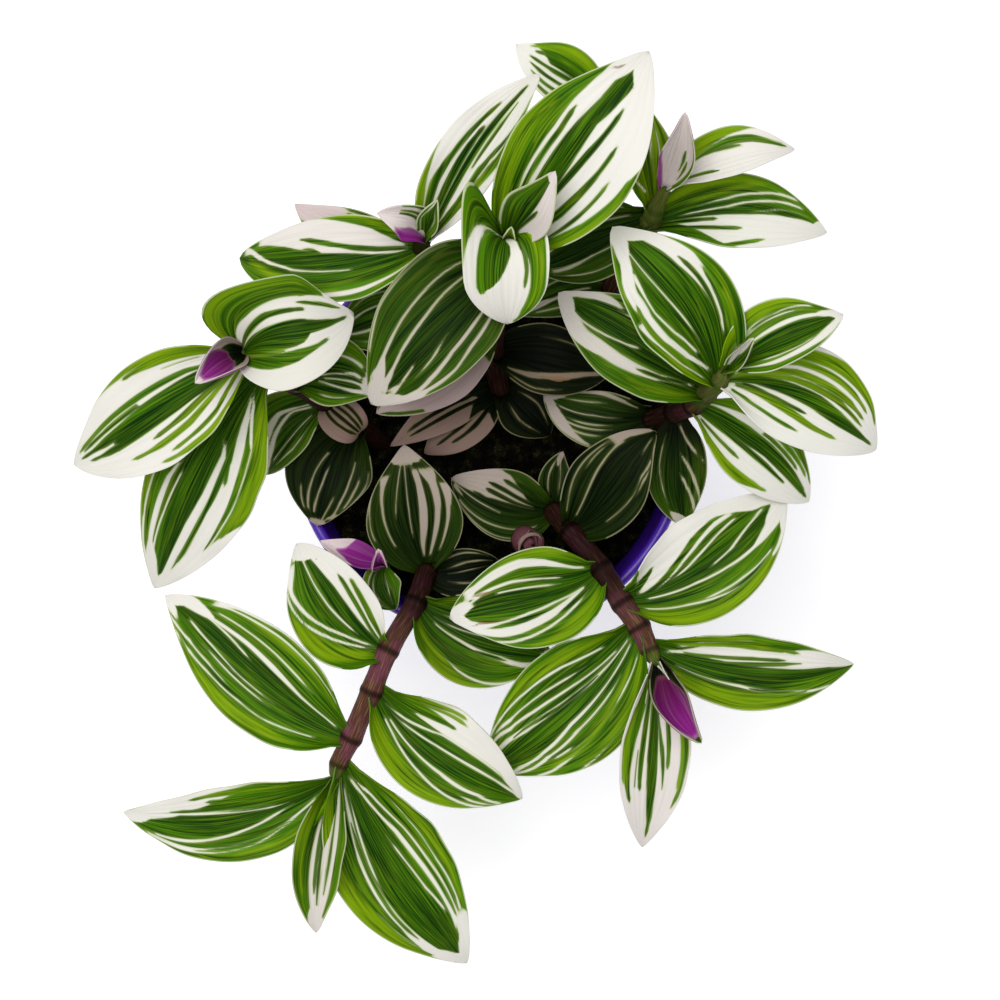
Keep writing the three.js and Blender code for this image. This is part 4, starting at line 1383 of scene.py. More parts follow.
add_leaf(
    front_right, at=7, heading=-62, rise=22, length=26.5, width=17, sweep=-2, lift=2, droop=4, cup=100,
    gloom=(1, 0), blush=0.5, plum=1,
    stripes=[
        ("white", 18, (0, 94, 14), (50, 92, 16), (100, 80, 40)),
        ("white", 18, (0, -94, 14), (50, -92, 16), (100, -80, 40)),
        ("purple", 300, (8, -10, 60), (30, -6, 130), (60, 0, 166), (94, 0, 130)),
    ],
)
plant_shoot(front_right)


# ---------------------------------------------------------------------------------------------
# Centre bud: a low, thin stem whose youngest leaf is still a pink spiral cup.
# ---------------------------------------------------------------------------------------------

centre_bud = new_shoot("centre_bud", radius=1.5, joints=[
    (15, -35, 96), (14, -34, 104), (12.5, -32, 112),
])
add_leaf(
    centre_bud, at=2, heading=-48, rise=74, length=8.5, width=40, lift=2, droop=0, cup=430, gloom=1,
    blush=0.9, plum=0.9, furl=1, fullness=0.4, grip=105,
    stripes=[
        ALL_WHITE,
        ("purple", 120, (0, -60, 120), (60, -60, 100), (100, -50, 80)),
    ],
)
add_leaf(
    centre_bud, at=1, heading=180, rise=68, length=13, width=9, lift=2, droop=1, cup=60, gloom=0.4,
    blush=0.8, plum=0.7,
    stripes=[
        ("white", 160, (10, 0, 120), (100, 0, 300)),
    ],
)
plant_shoot(centre_bud)


# ---------------------------------------------------------------------------------------------
# Left shoot: the stem that leans far out to the left. Its wide top leaf bulges back round the stem,
# and a small leaf is only just unrolling there.
# ---------------------------------------------------------------------------------------------

left = new_shoot("left", radius=3, green_end=17, joints=[
    (-33, -1, 96), (-40, 4, 110), (-48, 10, 124), (-56, 15, 134), (-64, 18, 143), (-68, 21, 150),
    (-69, 23, 154),
])
add_leaf(
    left, at=1, heading=-111, rise=2, length=30, width=26.5, sweep=-1.5, lift=2, droop=3, cup=5,
    fullness=0.58, gloom=0.85, blush=0.45,
    stripes=[
        ("white", 5, (30, 90, 4), (50, 93, 5), (75, 100, 8)),
        ("white", 4, (40, 72), (60, 78, 5), (80, 90, 8)),
        ("white", 6, (25, 53, 4), (50, 55, 6), (72, 62, 8), (86, 75, 14)),
        ("white", 4, (68, 36), (80, 36, 6), (95, 34, 12)),
        ("white", 5, (40, 0), (60, -5, 5), (75, -14, 6), (88, -26, 10)),
        ("white", 6, (28, -16, 4), (50, -27, 6), (60, -32, 7), (75, -42, 8), (86, -52, 16)),
        ("white", 4, (62, -58), (75, -64, 5), (86, -70, 10)),
        ("white", 14, (84, 86, 16), (92, 80, 60)),
        ("white", 60, (92, 0, 60), (96, 0, 300), (100, 0, 300)),
    ],
)
add_leaf(
    left, at=2, heading=-40, rise=-32, length=12.5, width=13, lift=2, cup=25, grip=60, fullness=0.55,
    gloom=1, blush=1, plum=0.5,
    stripes=[
        ALL_WHITE,
        ("green", 9, (5, 60, 8), (40, 62, 10), (80, 50)),
        ("green", 10, (5, 30, 8), (40, 32, 12), (84, 26)),
        ("green", 10, (5, 0, 8), (40, 0, 12), (86, 0)),
        ("green", 9, (5, -32, 8), (40, -34, 10), (82, -28)),
    ],
)
add_leaf(
    left, at=3, heading=-8, rise=1, length=22, width=21, sweep=2, lean=0.2, lift=2, droop=2, cup=6,
    gloom=0.25, blush=0.12,
    stripes=[
        ("white", 80, (78, 30, 60), (86, 20, 160), (100, 0, 300)),
        ("white", 8, (30, 5, 4), (55, 15, 6), (68, 25, 15), (78, 25, 20)),
        ("white", 7, (35, -2, 4), (55, 0, 6), (70, 2, 10), (82, 0, 18)),
        ("white", 15, (25, -12, 7), (42, -22, 9), (60, -32, 14), (75, -40, 24), (88, -40, 60)),
        ("white", 7, (20, 45, 4), (50, 56, 7), (75, 60, 14)),
        ("white", 6, (25, -60), (50, -68), (72, -70)),
    ],
)
add_leaf(
    left, at=2, heading=-132, rise=-24, length=28.5, width=20, lean=-0.4, lift=2, droop=4, cup=12,
    gloom=0.45, blush=0.1,
    stripes=[
        ("white", 12, (5, -25, 6), (31, -48, 14), (60, -40, 24), (85, -20, 60), (100, 0, 200)),
        ("white", 9, (5, -15, 4), (23, -34, 9), (50, -25, 12), (80, -10, 20)),
        ("white", 5, (10, 10, 3), (40, 12, 5), (75, 5, 12)),
        ("white", 5, (20, 50), (50, 56), (75, 40)),
    ],
)
add_leaf(
    left, at=4, heading=-120, rise=-26, length=78.5, width=34, lean=0.09, gloom=0.15, blush=0.03,
    stripes=[
        (
            "white", 33, (7, 14, 6), (15, 27, 15), (25, 37, 20), (33, 44, 17), (50, 50, 25), (60, 51, 32),
            (70, 56, 34), (80, 68, 60), (90, 80, 90), (96, 50, 200), (100, 0, 300),
        ),
        (
            "white", 20, (28, 12, 6), (33, 20, 10), (50, 22, 14), (65, 20, 20), (80, 21, 24), (90, 26, 34),
            (97, 20, 120),
        ),
        ("white", 3, (4, 10), (10, 30), (25, 61), (45, 69), (62, 74), (72, 76)),
        ("white", 60, (52, 105, 10), (62, 96, 30), (72, 95, 50), (82, 80, 60), (92, 60, 100)),
        ("green", 5, (25, 24), (33, 30, 5), (50, 32), (65, 35, 6), (81, 40)),
        ("green", 7, (26, 16, 8), (33, 30, 9), (43, 42)),
        ("white", 6, (45, -34), (50, -36, 5), (65, -43, 7), (87, -60, 14), (95, -70, 60)),
        (
            "white", 14, (42, -44, 6), (50, -54, 12), (65, -60, 16), (78, -67, 20), (92, -60, 100),
            (100, 0, 300),
        ),
        ("white", 8, (45, -82, 5), (65, -88, 8), (80, -94, 12), (90, -90, 30)),
        ("lime", 40, (3, 70, 60), (25, 85, 40), (45, 90, 24), (62, 82)),
        ("lime", 20, (10, -80, 30), (40, -92, 20), (70, -95)),
    ],
)
add_leaf(
    left, at=5, heading=-151, rise=-20, length=62.5, width=31, sweep=4, lean=-0.1, lift=4, droop=6, cup=12,
    gloom=0.1, blush=0.05,
    stripes=[
        ALL_WHITE,
        ("lime", 30, (0, 100, 30), (20, 98, 24), (35, 93, 14), (53, 86)),
        ("lime", 10, (2, 25, 10), (10, 48, 12), (20, 69, 10), (33, 72, 7), (46, 74)),
        ("lime", 12, (2, 10, 8), (17, 30, 10), (33, 46, 12), (50, 51, 11), (65, 54)),
        ("lime", 12, (3, 5, 8), (17, 15, 11), (33, 26, 11), (51, 32)),
        ("green", 45, (0, -5, 50), (25, -12, 42), (50, -10, 46), (62, -8, 46), (70, 0, 36)),
        ("green", 18, (55, 5, 18), (75, 9, 18), (87, 11)),
        ("green", 20, (50, -22, 22), (75, -20, 20), (92, -22)),
        ("green", 6, (50, -37, 5), (70, -40, 7), (88, -43)),
        ("green", 8, (5, -30, 5), (22, -43, 8), (50, -48, 9), (83, -57, 7), (91, -62)),
        ("green", 3, (14, -62), (30, -66)),
        ("lime", 14, (0, -72, 26), (8, -76, 20), (33, -84, 14), (48, -86)),
        ("lime", 22, (0, -100, 30), (25, -97, 20), (50, -101, 18), (72, -105)),
    ],
)
add_leaf(
    left, at=6, heading=19, rise=3, length=32, width=33, sweep=-3, lift=7, cup=16, fullness=0.55, taper=0.6,
    left_lobe=10, right_lobe=1, gloom=0.2, blush=0.03,
    stripes=[
        ALL_WHITE,
        (
            "green", 60, (0, 85, 66), (7, 82, 60), (23, 76, 54), (45, 82, 44), (60, 84, 44), (70, 90, 36),
            (80, 100, 30),
        ),
        ("green", 3, (55, 48), (70, 52), (85, 60), (91, 64)),
        ("green", 9, (2, 22, 8), (17, 27, 10), (33, 35, 9), (50, 35, 6), (61, 36)),
        (
            "green", 46, (0, -10, 46), (20, -9, 46), (50, -5, 45), (58, -3, 40), (62, 2, 26), (80, 1, 19),
            (93, -2),
        ),
        ("green", 14, (0, -55, 34), (10, -51, 30), (25, -49, 26), (50, -45, 19), (58, -43, 13), (74, -38)),
        ("lime", 16, (0, 90, 24), (40, 92, 14), (62, 85)),
        ("lime", 6, (0, -33, 6), (20, -33), (40, -32)),
    ],
)
add_leaf(
    left, at=6, heading=-142, rise=35, length=17.5, width=16, lift=1, droop=2, cup=95, gloom=(1, 0.1),
    blush=0.5, plum=1,
    stripes=[
        ALL_WHITE,
        ("green", 60, (0, 0, 160), (40, 0, 80), (62, 0)),
        ("purple", 120, (20, 0, 60), (60, 0, 150), (90, 0, 90)),
    ],
)
plant_shoot(left)


# ---------------------------------------------------------------------------------------------
# Back left shoot: stands behind the left shoot. One broad pale leaf lies out to the left, one reaches
# up behind, and two small leaves open at the tip.
# ---------------------------------------------------------------------------------------------

back_left = new_shoot("back_left", radius=3, green_end=14, joints=[
    (-12, 11, 96), (-15, 26, 114), (-17, 39, 132), (-18, 48, 144), (-19, 52, 152), (-17, 55, 158),
])
add_leaf(
    back_left, at=2, heading=-161, rise=-5, length=27, width=20.5, sweep=1.5, lift=2, droop=3, gloom=0.35,
    blush=0.2,
    stripes=[
        ("white", 8, (15, 10), (50, 20), (88, 25, 20)),
        ("white", 8, (15, -30), (60, -40), (90, -40, 20)),
        ("white", 5, (20, 50), (50, 62), (82, 62)),
        ("white", 5, (20, -62), (50, -72), (80, -75)),
        ("white", 80, (84, 0), (92, 0, 160), (100, 0, 300)),
    ],
)
add_leaf(
    back_left, at=3, heading=154, rise=-5, length=39.5, width=16, sweep=2.5, lift=2, droop=3, cup=8,
    gloom=0.25, blush=0.8,
    stripes=[
        ("white", 120, (58, -70, 40), (72, -56, 120), (88, -20, 220), (100, 0, 300)),
        ("white", 6, (20, -74, 5), (40, -80, 6), (60, -84, 8)),
        ("white", 6, (20, 30), (50, 35), (86, 30)),
        ("white", 6, (20, -20), (50, -25), (86, -30)),
    ],
)
add_leaf(
    back_left, at=4, heading=-178, rise=-12, length=51.5, width=24.5, sweep=4, cup=6, fullness=0.6,
    taper=0.1, gloom=0.1, blush=0.25,
    stripes=[
        ("white", 13, (3, 70, 8), (17, 76, 12), (40, 81, 14), (55, 84, 14), (65, 92, 14)),
        (
            "white", 9, (35, 28, 3), (50, 25, 5), (67, 20, 10), (80, 2, 15), (87, -20, 28), (92, -58, 44),
            (97, -80, 100),
        ),
        (
            "white", 82, (4, -8, 24), (10, -15, 46), (22, -34, 72), (33, -45, 75), (50, -59, 83),
            (63, -70, 76), (80, -85, 54), (88, -100, 60),
        ),
        ("green", 9, (5, -5, 10), (20, -12, 10), (33, -22, 10), (45, -36, 7), (61, -57)),
        ("green", 4, (6, -45), (14, -56), (20, -64)),
        ("green", 4, (50, -16), (55, -25), (60, -32)),
        ("lime", 20, (0, -80, 50), (12, -82, 40), (25, -96, 24), (45, -104, 10), (55, -106)),
        ("lime", 14, (60, 60, 20), (80, 40, 30), (92, 10, 40)),
    ],
)
add_leaf(
    back_left, at=5, heading=53, rise=23, length=54.5, width=18.5, sweep=2.5, lift=2, droop=4, cup=8,
    fullness=0.6, left_lobe=3, gloom=0.1, blush=0.08,
    stripes=[
        ALL_WHITE,
        ("lime", 30, (0, 92, 50), (20, 95, 36), (35, 100, 20), (46, 104)),
        ("green", 20, (8, 52, 22), (25, 56, 22), (42, 46, 12), (60, 40, 8), (77, 35)),
        ("green", 18, (8, 17, 20), (33, 17, 20), (50, 18, 14), (62, 18)),
        ("green", 19, (0, -6, 22), (33, -6, 18), (60, -4, 20), (83, -4, 18), (92, -2)),
        ("green", 3, (40, -24), (65, -26), (83, -28)),
        (
            "green", 30, (0, -40, 40), (20, -52, 26), (42, -60, 40), (53, -70, 35), (70, -88, 26),
            (83, -99, 20), (90, -104),
        ),
        ("white", 5, (30, -52), (50, -62), (67, -82), (80, -100)),
        ("lime", 10, (15, -50), (40, -68), (72, -88)),
    ],
)
add_leaf(
    back_left, at=5, heading=160, rise=34, length=16.5, width=13, sweep=-1, lift=2, droop=3, roll=-30,
    cup=40, gloom=0.1, blush=0.55, plum=1,
    stripes=[
        ALL_WHITE,
        ("green", 30, (0, -70, 60), (40, -88, 24), (70, -96, 12)),
        ("green", 8, (10, -30, 10), (40, -42), (70, -45)),
        ("green", 6, (15, -10), (45, -18), (70, -22)),
        ("purple", 90, (0, 70, 110), (40, 75, 80), (75, 90, 30)),
    ],
)
add_leaf(
    back_left, at=5, heading=62, rise=60, length=17, width=8, lift=1, droop=1, cup=60, gloom=0.1, blush=0.3,
    plum=0.3,
    stripes=[
        ("white", 14, (0, 60, 20), (50, 70), (100, 20, 60)),
        ("white", 8, (10, -30), (50, -40), (90, -20)),
    ],
)
plant_shoot(back_left)


# ---------------------------------------------------------------------------------------------
# Back shoot: the tallest stem, rooted behind the middle of the pot, with the two largest leaves. The
# pale pair at its tip has just opened.
# ---------------------------------------------------------------------------------------------

back = new_shoot("back", radius=3.1, green_end=30, joints=[
    (5, 11, 96), (3, 15, 106), (1, 25, 122), (2, 35, 140), (5, 46, 158), (5, 51, 168), (5, 53, 173),
])
add_leaf(
    back, at=1, heading=-152, rise=9, length=35, width=12, sweep=-0.5, lift=2, droop=3, cup=8, gloom=1,
    blush=1,
    stripes=[
        ("white", 300, (15, 0), (35, 0, 260), (100, 0, 300)),
        ("green", 14, (5, 20, 16), (50, 20, 18), (82, 25)),
        ("green", 14, (5, -15, 16), (50, -18, 18), (82, -30)),
    ],
)
add_leaf(
    back, at=1, heading=-139, rise=-2, length=27.5, width=16, sweep=1.5, lift=2, droop=4, cup=8, gloom=1,
    blush=1,
    stripes=[
        ("white", 300, (12, 0), (30, 0, 260), (100, 0, 300)),
        ("green", 14, (5, 35, 14), (40, 42, 16), (70, 40)),
        ("green", 16, (5, 8, 14), (50, 8, 18), (84, 4)),
        ("green", 10, (5, -20, 12), (45, -26), (72, -30)),
        ("green", 12, (5, -55, 16), (40, -62), (62, -64)),
    ],
)
add_leaf(
    back, at=1, heading=-44, rise=-9, length=18.5, width=18, lift=2, droop=2, cup=14, gloom=1, blush=0.3,
    stripes=[
        ("white", 5, (15, 30), (50, 42), (86, 40)),
        ("white", 5, (15, -30), (50, -42), (86, -40)),
    ],
)
add_leaf(
    back, at=2, heading=-10, rise=-7, length=32.5, width=21, sweep=-1.5, droop=4, cup=8, fullness=0.6,
    gloom=1, blush=0.45,
    stripes=[
        (
            "white", 26, (8, -64, 10), (30, -55, 20), (50, -42, 22), (65, -32, 26), (80, -22, 26),
            (100, -15, 60),
        ),
        ("white", 5, (10, -85), (35, -88), (60, -80)),
        ("white", 3, (30, 60), (60, 66), (85, 60)),
        ("brown", 20, (38, -52), (55, -48), (66, -42)),
    ],
)
add_leaf(
    back, at=3, heading=-140, rise=-12, length=43.5, width=21.5, sweep=1, lean=0.2, lift=2, droop=3, cup=8,
    gloom=(0.7, 0.6), blush=0.9,
    stripes=[
        (
            "white", 90, (20, 90, 30), (30, 80, 90), (45, 75, 110), (70, 65, 110), (85, 50, 120),
            (100, 20, 200),
        ),
        ("white", 18, (10, -8, 4), (17, -5, 14), (33, 10, 20), (50, 24, 18), (66, 30, 20), (80, 34, 20)),
        ("green", 10, (72, 90, 10), (86, 82, 16), (98, 60)),
        ("white", 2, (20, -38), (45, -15), (72, 3)),
        ("white", 7, (59, -41), (66, -31), (74, -20, 12), (84, -10, 40), (95, 0, 100)),
        ("white", 12, (45, -97, 10), (67, -80, 18), (83, -64, 26), (92, -50, 60)),
    ],
)
add_leaf(
    back, at=4, heading=-135, rise=-10, length=52, width=33, sweep=1.5, lean=-0.18, lift=4, droop=6, cup=6,
    fullness=0.62, right_lobe=4, gloom=(0.75, 0.45), blush=0.2,
    stripes=[
        ("white", 10, (12, 57, 9), (25, 61, 10), (42, 67, 10), (55, 79, 8), (72, 85, 14), (82, 95, 60)),
        (
            "white", 11, (15, 36, 7), (33, 40, 10), (50, 46, 11), (67, 62, 14), (75, 75, 18), (82, 85, 40),
            (90, 60, 110), (97, 0, 260), (100, 0, 300),
        ),
        ("white", 3, (45, 12), (60, 27), (72, 36)),
        ("white", 6, (67, 6), (74, 14, 8), (80, 24, 12), (88, 28, 50)),
        (
            "white", 7, (10, -36, 5), (33, -35, 5), (50, -31, 6), (67, -28, 8), (77, -22, 10), (85, -15, 24),
            (92, -5, 80),
        ),
        ("white", 7, (15, -59, 4), (40, -57, 5), (60, -56, 6), (75, -55, 10), (82, -47, 34), (90, -40, 90)),
        ("white", 5, (20, -95, 4), (60, -97, 6), (80, -93, 8)),
        ("white", 60, (82, -38, 20), (86, -38, 40), (92, -43, 90), (97, 0, 260)),
    ],
)
add_leaf(
    back, at=5, heading=53, rise=19, length=63, width=35.5, sweep=-2, lift=4, droop=6, fullness=0.62,
    gloom=0.06, blush=0.05,
    stripes=[
        (
            "white", 40, (2, 20, 6), (12, 36, 18), (25, 41, 24), (50, 44, 24), (73, 50, 40), (83, 59, 48),
            (91, 60, 100), (96, 0, 300), (100, 0, 300),
        ),
        ("green", 7, (5, 38, 7), (25, 42, 7), (50, 44, 6), (63, 53)),
        (
            "white", 90, (3, -28, 20), (12, -40, 60), (25, -42, 76), (50, -43, 90), (62, -50, 110),
            (75, -58, 104), (85, -64, 90), (93, -40, 150), (97, 0, 300),
        ),
        ("green", 8, (3, -6, 8), (25, -8, 9), (50, -13, 9), (74, -23)),
        ("green", 10, (3, -30, 10), (20, -38, 14), (35, -41, 8), (59, -45)),
        ("green", 4, (8, -65, 5), (25, -65, 5), (45, -64)),
        ("lime", 14, (3, 70, 18), (30, 78), (60, 86)),
        ("lime", 12, (5, 92, 16), (40, 96), (70, 100)),
        ("lime", 10, (0, -92, 20), (25, -97), (45, -94)),
        ("brown", 5, (86, 80, 4), (88, 66, 8), (91, 60)),
    ],
)
add_leaf(
    back, at=6, heading=-90, rise=-22, length=24, width=25, lean=-0.04, lift=7, droop=5, cup=22,
    fullness=0.52, taper=0.75, left_lobe=3, right_lobe=16, gloom=0.08, blush=0.08,
    stripes=[
        ALL_WHITE,
        ("green", 45, (0, -62, 80), (12, -74, 50), (25, -84, 40), (38, -92, 24), (50, -100)),
        (
            "green", 40, (3, -8, 10), (10, -20, 24), (20, -20, 50), (30, -24, 60), (45, -35, 58),
            (55, -46, 48), (60, -56, 32), (64, -68),
        ),
        ("green", 4, (10, -36), (20, -46), (28, -52)),
        (
            "green", 40, (0, 30, 50), (10, 50, 60), (20, 65, 60), (40, 72, 38), (60, 78, 36), (80, 78, 34),
            (94, 80),
        ),
        ("green", 4, (15, 28), (30, 40), (45, 45), (60, 44)),
        ("lime", 16, (10, 60, 20), (40, 76, 14), (76, 80)),
    ],
)
add_leaf(
    back, at=6, heading=51, rise=43, length=25.5, width=16, sweep=-1.5, lift=2, droop=3, cup=45,
    gloom=(0.3, 0.15), blush=0.5,
    stripes=[
        ("white", 100, (8, -52, 60), (20, -55, 92), (90, -52, 98), (96, 0, 280), (100, 0, 300)),
        ("green", 4, (2, -10, 5), (25, -14, 6), (52, -22)),
        ("white", 5, (10, 92, 5), (50, 95, 7), (92, 92)),
    ],
)
add_leaf(
    back, at=6, heading=79, rise=72, length=7.5, width=5, lift=0.5, droop=1, cup=80, gloom=0.15, blush=0.1,
    stripes=[
        ("lime", 300, (0, 0, 300), (100, 0, 300)),
    ],
)
plant_shoot(back)


# ---------------------------------------------------------------------------------------------
# Back low shoot: the thin stem behind all the others, which leans out low over the rim. From above
# one leaf of it shows, at the very top.
# ---------------------------------------------------------------------------------------------

back_low = new_shoot("back_low", radius=2.6, green_end=30, joints=[
    (18, 37, 96), (20, 45, 107), (22, 53, 116), (24, 62, 120), (29, 84, 126), (33, 98, 131),
])
add_leaf(
    back_low, at=5, heading=149, rise=6, length=29, width=17.5, sweep=2.5, lift=2, droop=4, gloom=0.04,
    blush=0.05,
    stripes=[
        (
            "white", 100, (8, 50, 30), (25, 50, 100), (60, 45, 120), (80, 30, 200), (95, 0, 300),
            (100, 0, 300),
        ),
        ("green", 8, (5, 85), (35, 86, 10), (66, 84)),
        ("green", 7, (5, 60), (35, 62, 9), (74, 58)),
        ("green", 7, (5, 34), (40, 36, 9), (78, 30)),
        ("green", 12, (5, 8, 12), (50, 6, 14), (82, 0)),
        ("green", 24, (5, -30, 20), (45, -44, 22), (80, -40)),
        ("lime", 24, (5, -70, 30), (45, -80, 26), (88, -70)),
    ],
)
add_leaf(
    back_low, at=4, heading=67, rise=4, length=24.5, width=20, lift=2, droop=4, cup=12, gloom=0.3, blush=0.1,
    stripes=[
        ("white", 9, (8, 25, 5), (50, 30), (88, 25, 20)),
        ("white", 9, (8, -25, 5), (50, -30), (88, -25, 20)),
        ("white", 5, (15, 60), (50, 65), (80, 60)),
    ],
)
plant_shoot(back_low)


# ---------------------------------------------------------------------------------------------
# Back right shoot: two long leaves to the right, two short ones, and a tall pink bud between them.
# ---------------------------------------------------------------------------------------------

back_right = new_shoot("back_right", radius=3, green_end=40, joints=[
    (31, 32, 96), (36, 44, 116), (43, 55, 134), (46, 61, 142), (47, 64, 148), (50, 70, 154),
])
add_leaf(
    back_right, at=1, heading=-163, rise=-11, length=26, width=14, sweep=-1.5, lift=2, droop=2, cup=6,
    gloom=0.5, blush=0.35,
    stripes=[
        ("white", 20, (15, 0, 8), (60, 10), (92, 0, 80), (100, 0, 300)),
        ("white", 8, (15, 50), (50, 55), (84, 50, 20)),
        ("white", 7, (15, -50), (50, -60), (84, -60, 20)),
    ],
)
add_leaf(
    back_right, at=3, heading=-158, rise=-24, length=35.5, width=22, sweep=1.5, lift=2, droop=4, cup=6,
    gloom=0.6, blush=0.2,
    stripes=[
        ("white", 6, (15, 28), (50, 28), (84, 50, 20)),
        ("white", 8, (8, -35, 4), (50, -50), (84, -55, 24)),
        ("white", 16, (10, -75, 6), (50, -82), (90, -70, 60)),
        ("white", 5, (20, 70), (50, 72), (84, 68)),
        ("white", 60, (90, 0), (96, 0, 160), (100, 0, 300)),
    ],
)
add_leaf(
    back_right, at=3, heading=-3, rise=-4, length=48.5, width=22.5, sweep=2, roll=-8, cup=16, gloom=0.03,
    blush=0.05,
    stripes=[
        (
            "white", 110, (5, -15, 10), (10, -22, 20), (20, -34, 50), (30, -46, 78), (50, -56, 108),
            (73, -49, 122), (90, -38, 145), (95, 0, 300), (100, 0, 300),
        ),
        ("green", 12, (2, -18, 16), (12, -19, 13), (22, -19, 8), (31, -19)),
        ("green", 10, (5, -46, 8), (13, -47, 10), (30, -45, 8), (46, -43)),
        ("green", 9, (32, -100), (45, -87, 8), (60, -75)),
        ("green", 60, (0, -85, 80), (10, -84, 50), (20, -92, 30), (28, -100)),
        ("white", 3, (20, 20), (37, 35), (57, 60), (78, 90, 5)),
        ("white", 4, (10, 2), (22, 5), (38, 15), (63, 45), (82, 72, 6)),
        ("white", 2, (50, 0), (65, 22), (85, 50)),
        ("lime", 30, (3, 68, 40), (30, 80, 30), (60, 97)),
        ("lime", 8, (12, 26), (35, 52, 10), (55, 82)),
    ],
)
add_leaf(
    back_right, at=4, heading=95, rise=11, length=27.5, width=15, sweep=1.5, lift=2, droop=4, cup=16,
    gloom=0.05, blush=0.05,
    stripes=[
        ("lime", 120, (0, 10, 150), (60, -20, 120), (100, -40, 60)),
        ("green", 20, (5, 0, 10), (40, 10), (80, 10)),
        ("green", 14, (20, -68), (60, -70), (90, -80)),
        ("white", 4, (20, -42, 3), (60, -48), (92, -58)),
        ("white", 3, (25, -14), (50, -16), (82, -32)),
        ("white", 12, (8, 30, 4), (20, 64), (34, 92, 10)),
    ],
)
add_leaf(
    back_right, at=5, heading=15, rise=5, length=35.5, width=16, sweep=2, lift=2, roll=-14, cup=35,
    gloom=0.05, blush=0.12,
    stripes=[
        ALL_WHITE,
        ("lime", 60, (0, 80, 100), (13, 75, 85), (22, 75, 72), (43, 88, 50), (60, 98, 30), (70, 105)),
        (
            "green", 24, (12, 32, 10), (20, 33, 10), (33, 38, 16), (50, 46, 23), (67, 51, 23), (87, 43, 20),
            (93, 38),
        ),
        ("green", 3, (25, 30), (45, 26), (57, 24)),
        ("green", 6, (4, -30, 6), (12, -34), (25, -44), (36, -54)),
    ],
)
add_leaf(
    back_right, at=5, heading=77, rise=51, length=26.5, width=15, sweep=-1, lift=1, droop=1, cup=90,
    gloom=0.12, blush=0.6, plum=0.6,
    stripes=[
        ALL_WHITE,
        ("purple", 60, (0, 95, 120), (30, 95, 70), (60, 110, 30)),
        ("green", 14, (0, -80, 30), (40, -88, 16), (80, -90)),
        ("green", 3, (20, -30), (40, -28), (52, -26)),
        ("green", 3, (10, -52), (30, -48), (40, -44)),
    ],
)
plant_shoot(back_right)


# ---------------------------------------------------------------------------------------------
# Right shoot: the stem that leans out to the right, thickly set with wide striped leaves and with a
# small leaf that is only just unrolling at its tip.
# ---------------------------------------------------------------------------------------------

right = new_shoot("right", radius=3, green_end=24, joints=[
    (31, 2, 96), (42, 4, 106), (48, 5, 115), (54, 7, 124), (59, 9, 132), (62, 12, 141), (65, 15, 149),
    (66, 18, 154),
])
add_leaf(
    right, at=2, heading=167, rise=-8, length=31, width=17.5, sweep=4.5, lift=2, droop=3, cup=8,
    fullness=0.6, gloom=(0.85, 0.6), blush=0.42,
    stripes=[
        ("white", 60, (48, 92, 8), (62, 80, 30), (72, 66, 62), (85, 50, 92), (95, 0, 150), (100, 0, 300)),
        ("white", 5, (40, 54), (55, 60), (70, 66)),
        ("white", 5, (32, 30), (55, 38), (75, 46, 10)),
        ("white", 4, (32, 15), (55, 22), (75, 30)),
        ("white", 6, (22, -12), (50, -14), (65, -8), (84, -2, 14)),
        ("white", 4, (38, -60), (60, -58), (88, -60)),
        ("white", 20, (5, -58, 10), (20, -78), (40, -90), (60, -97), (78, -100, 14)),
        ("white", 30, (80, -80), (88, -60, 60), (96, -40, 90)),
    ],
)
add_leaf(
    right, at=3, heading=-84, rise=-24, length=34, width=18.5, sweep=-2, lift=1, droop=2, grip=60,
    fullness=0.6, gloom=(0.95, 0.45), blush=0.15,
    stripes=[
        ("white", 7, (46, 10), (62, 38), (75, 65), (87, 100, 10)),
        ("white", 6, (28, 13), (42, 40), (55, 60), (70, 88), (78, 100, 9)),
        ("white", 3, (33, 33), (50, 55), (64, 78)),
        ("white", 14, (3, 15, 6), (20, 45), (38, 92, 12)),
        ("white", 60, (80, -60), (92, -20, 150), (100, 0, 300)),
        ("white", 5, (10, -45), (40, -55), (75, -50)),
        ("lime", 16, (20, 72), (40, 78), (62, 90)),
    ],
)
add_leaf(
    right, at=4, heading=-38, rise=-24, length=47.5, width=23.5, sweep=-0.5, lean=0.1, lift=2, droop=4,
    cup=8, gloom=0.03, blush=0.03,
    stripes=[
        ALL_WHITE,
        ("green", 60, (0, 80, 64), (40, 86, 44), (70, 92, 30), (88, 95)),
        ("green", 10, (45, 62, 8), (58, 62, 10), (70, 68, 11), (82, 73)),
        ("green", 8, (40, 46, 8), (55, 48), (66, 51, 9), (73, 52)),
        ("green", 32, (0, 10, 60), (20, 14, 44), (50, 23, 30), (75, 22, 32), (88, 20, 30), (94, 16)),
        ("green", 14, (0, -12, 20), (25, -10, 14), (40, -9, 14), (55, -8, 14), (67, -12, 9), (72, -14)),
        ("green", 7, (3, -42, 9), (20, -44, 7), (37, -44)),
        ("lime", 40, (0, -88, 60), (15, -88, 40), (30, -92, 44), (45, -84, 30), (55, -77, 18), (65, -74)),
    ],
)
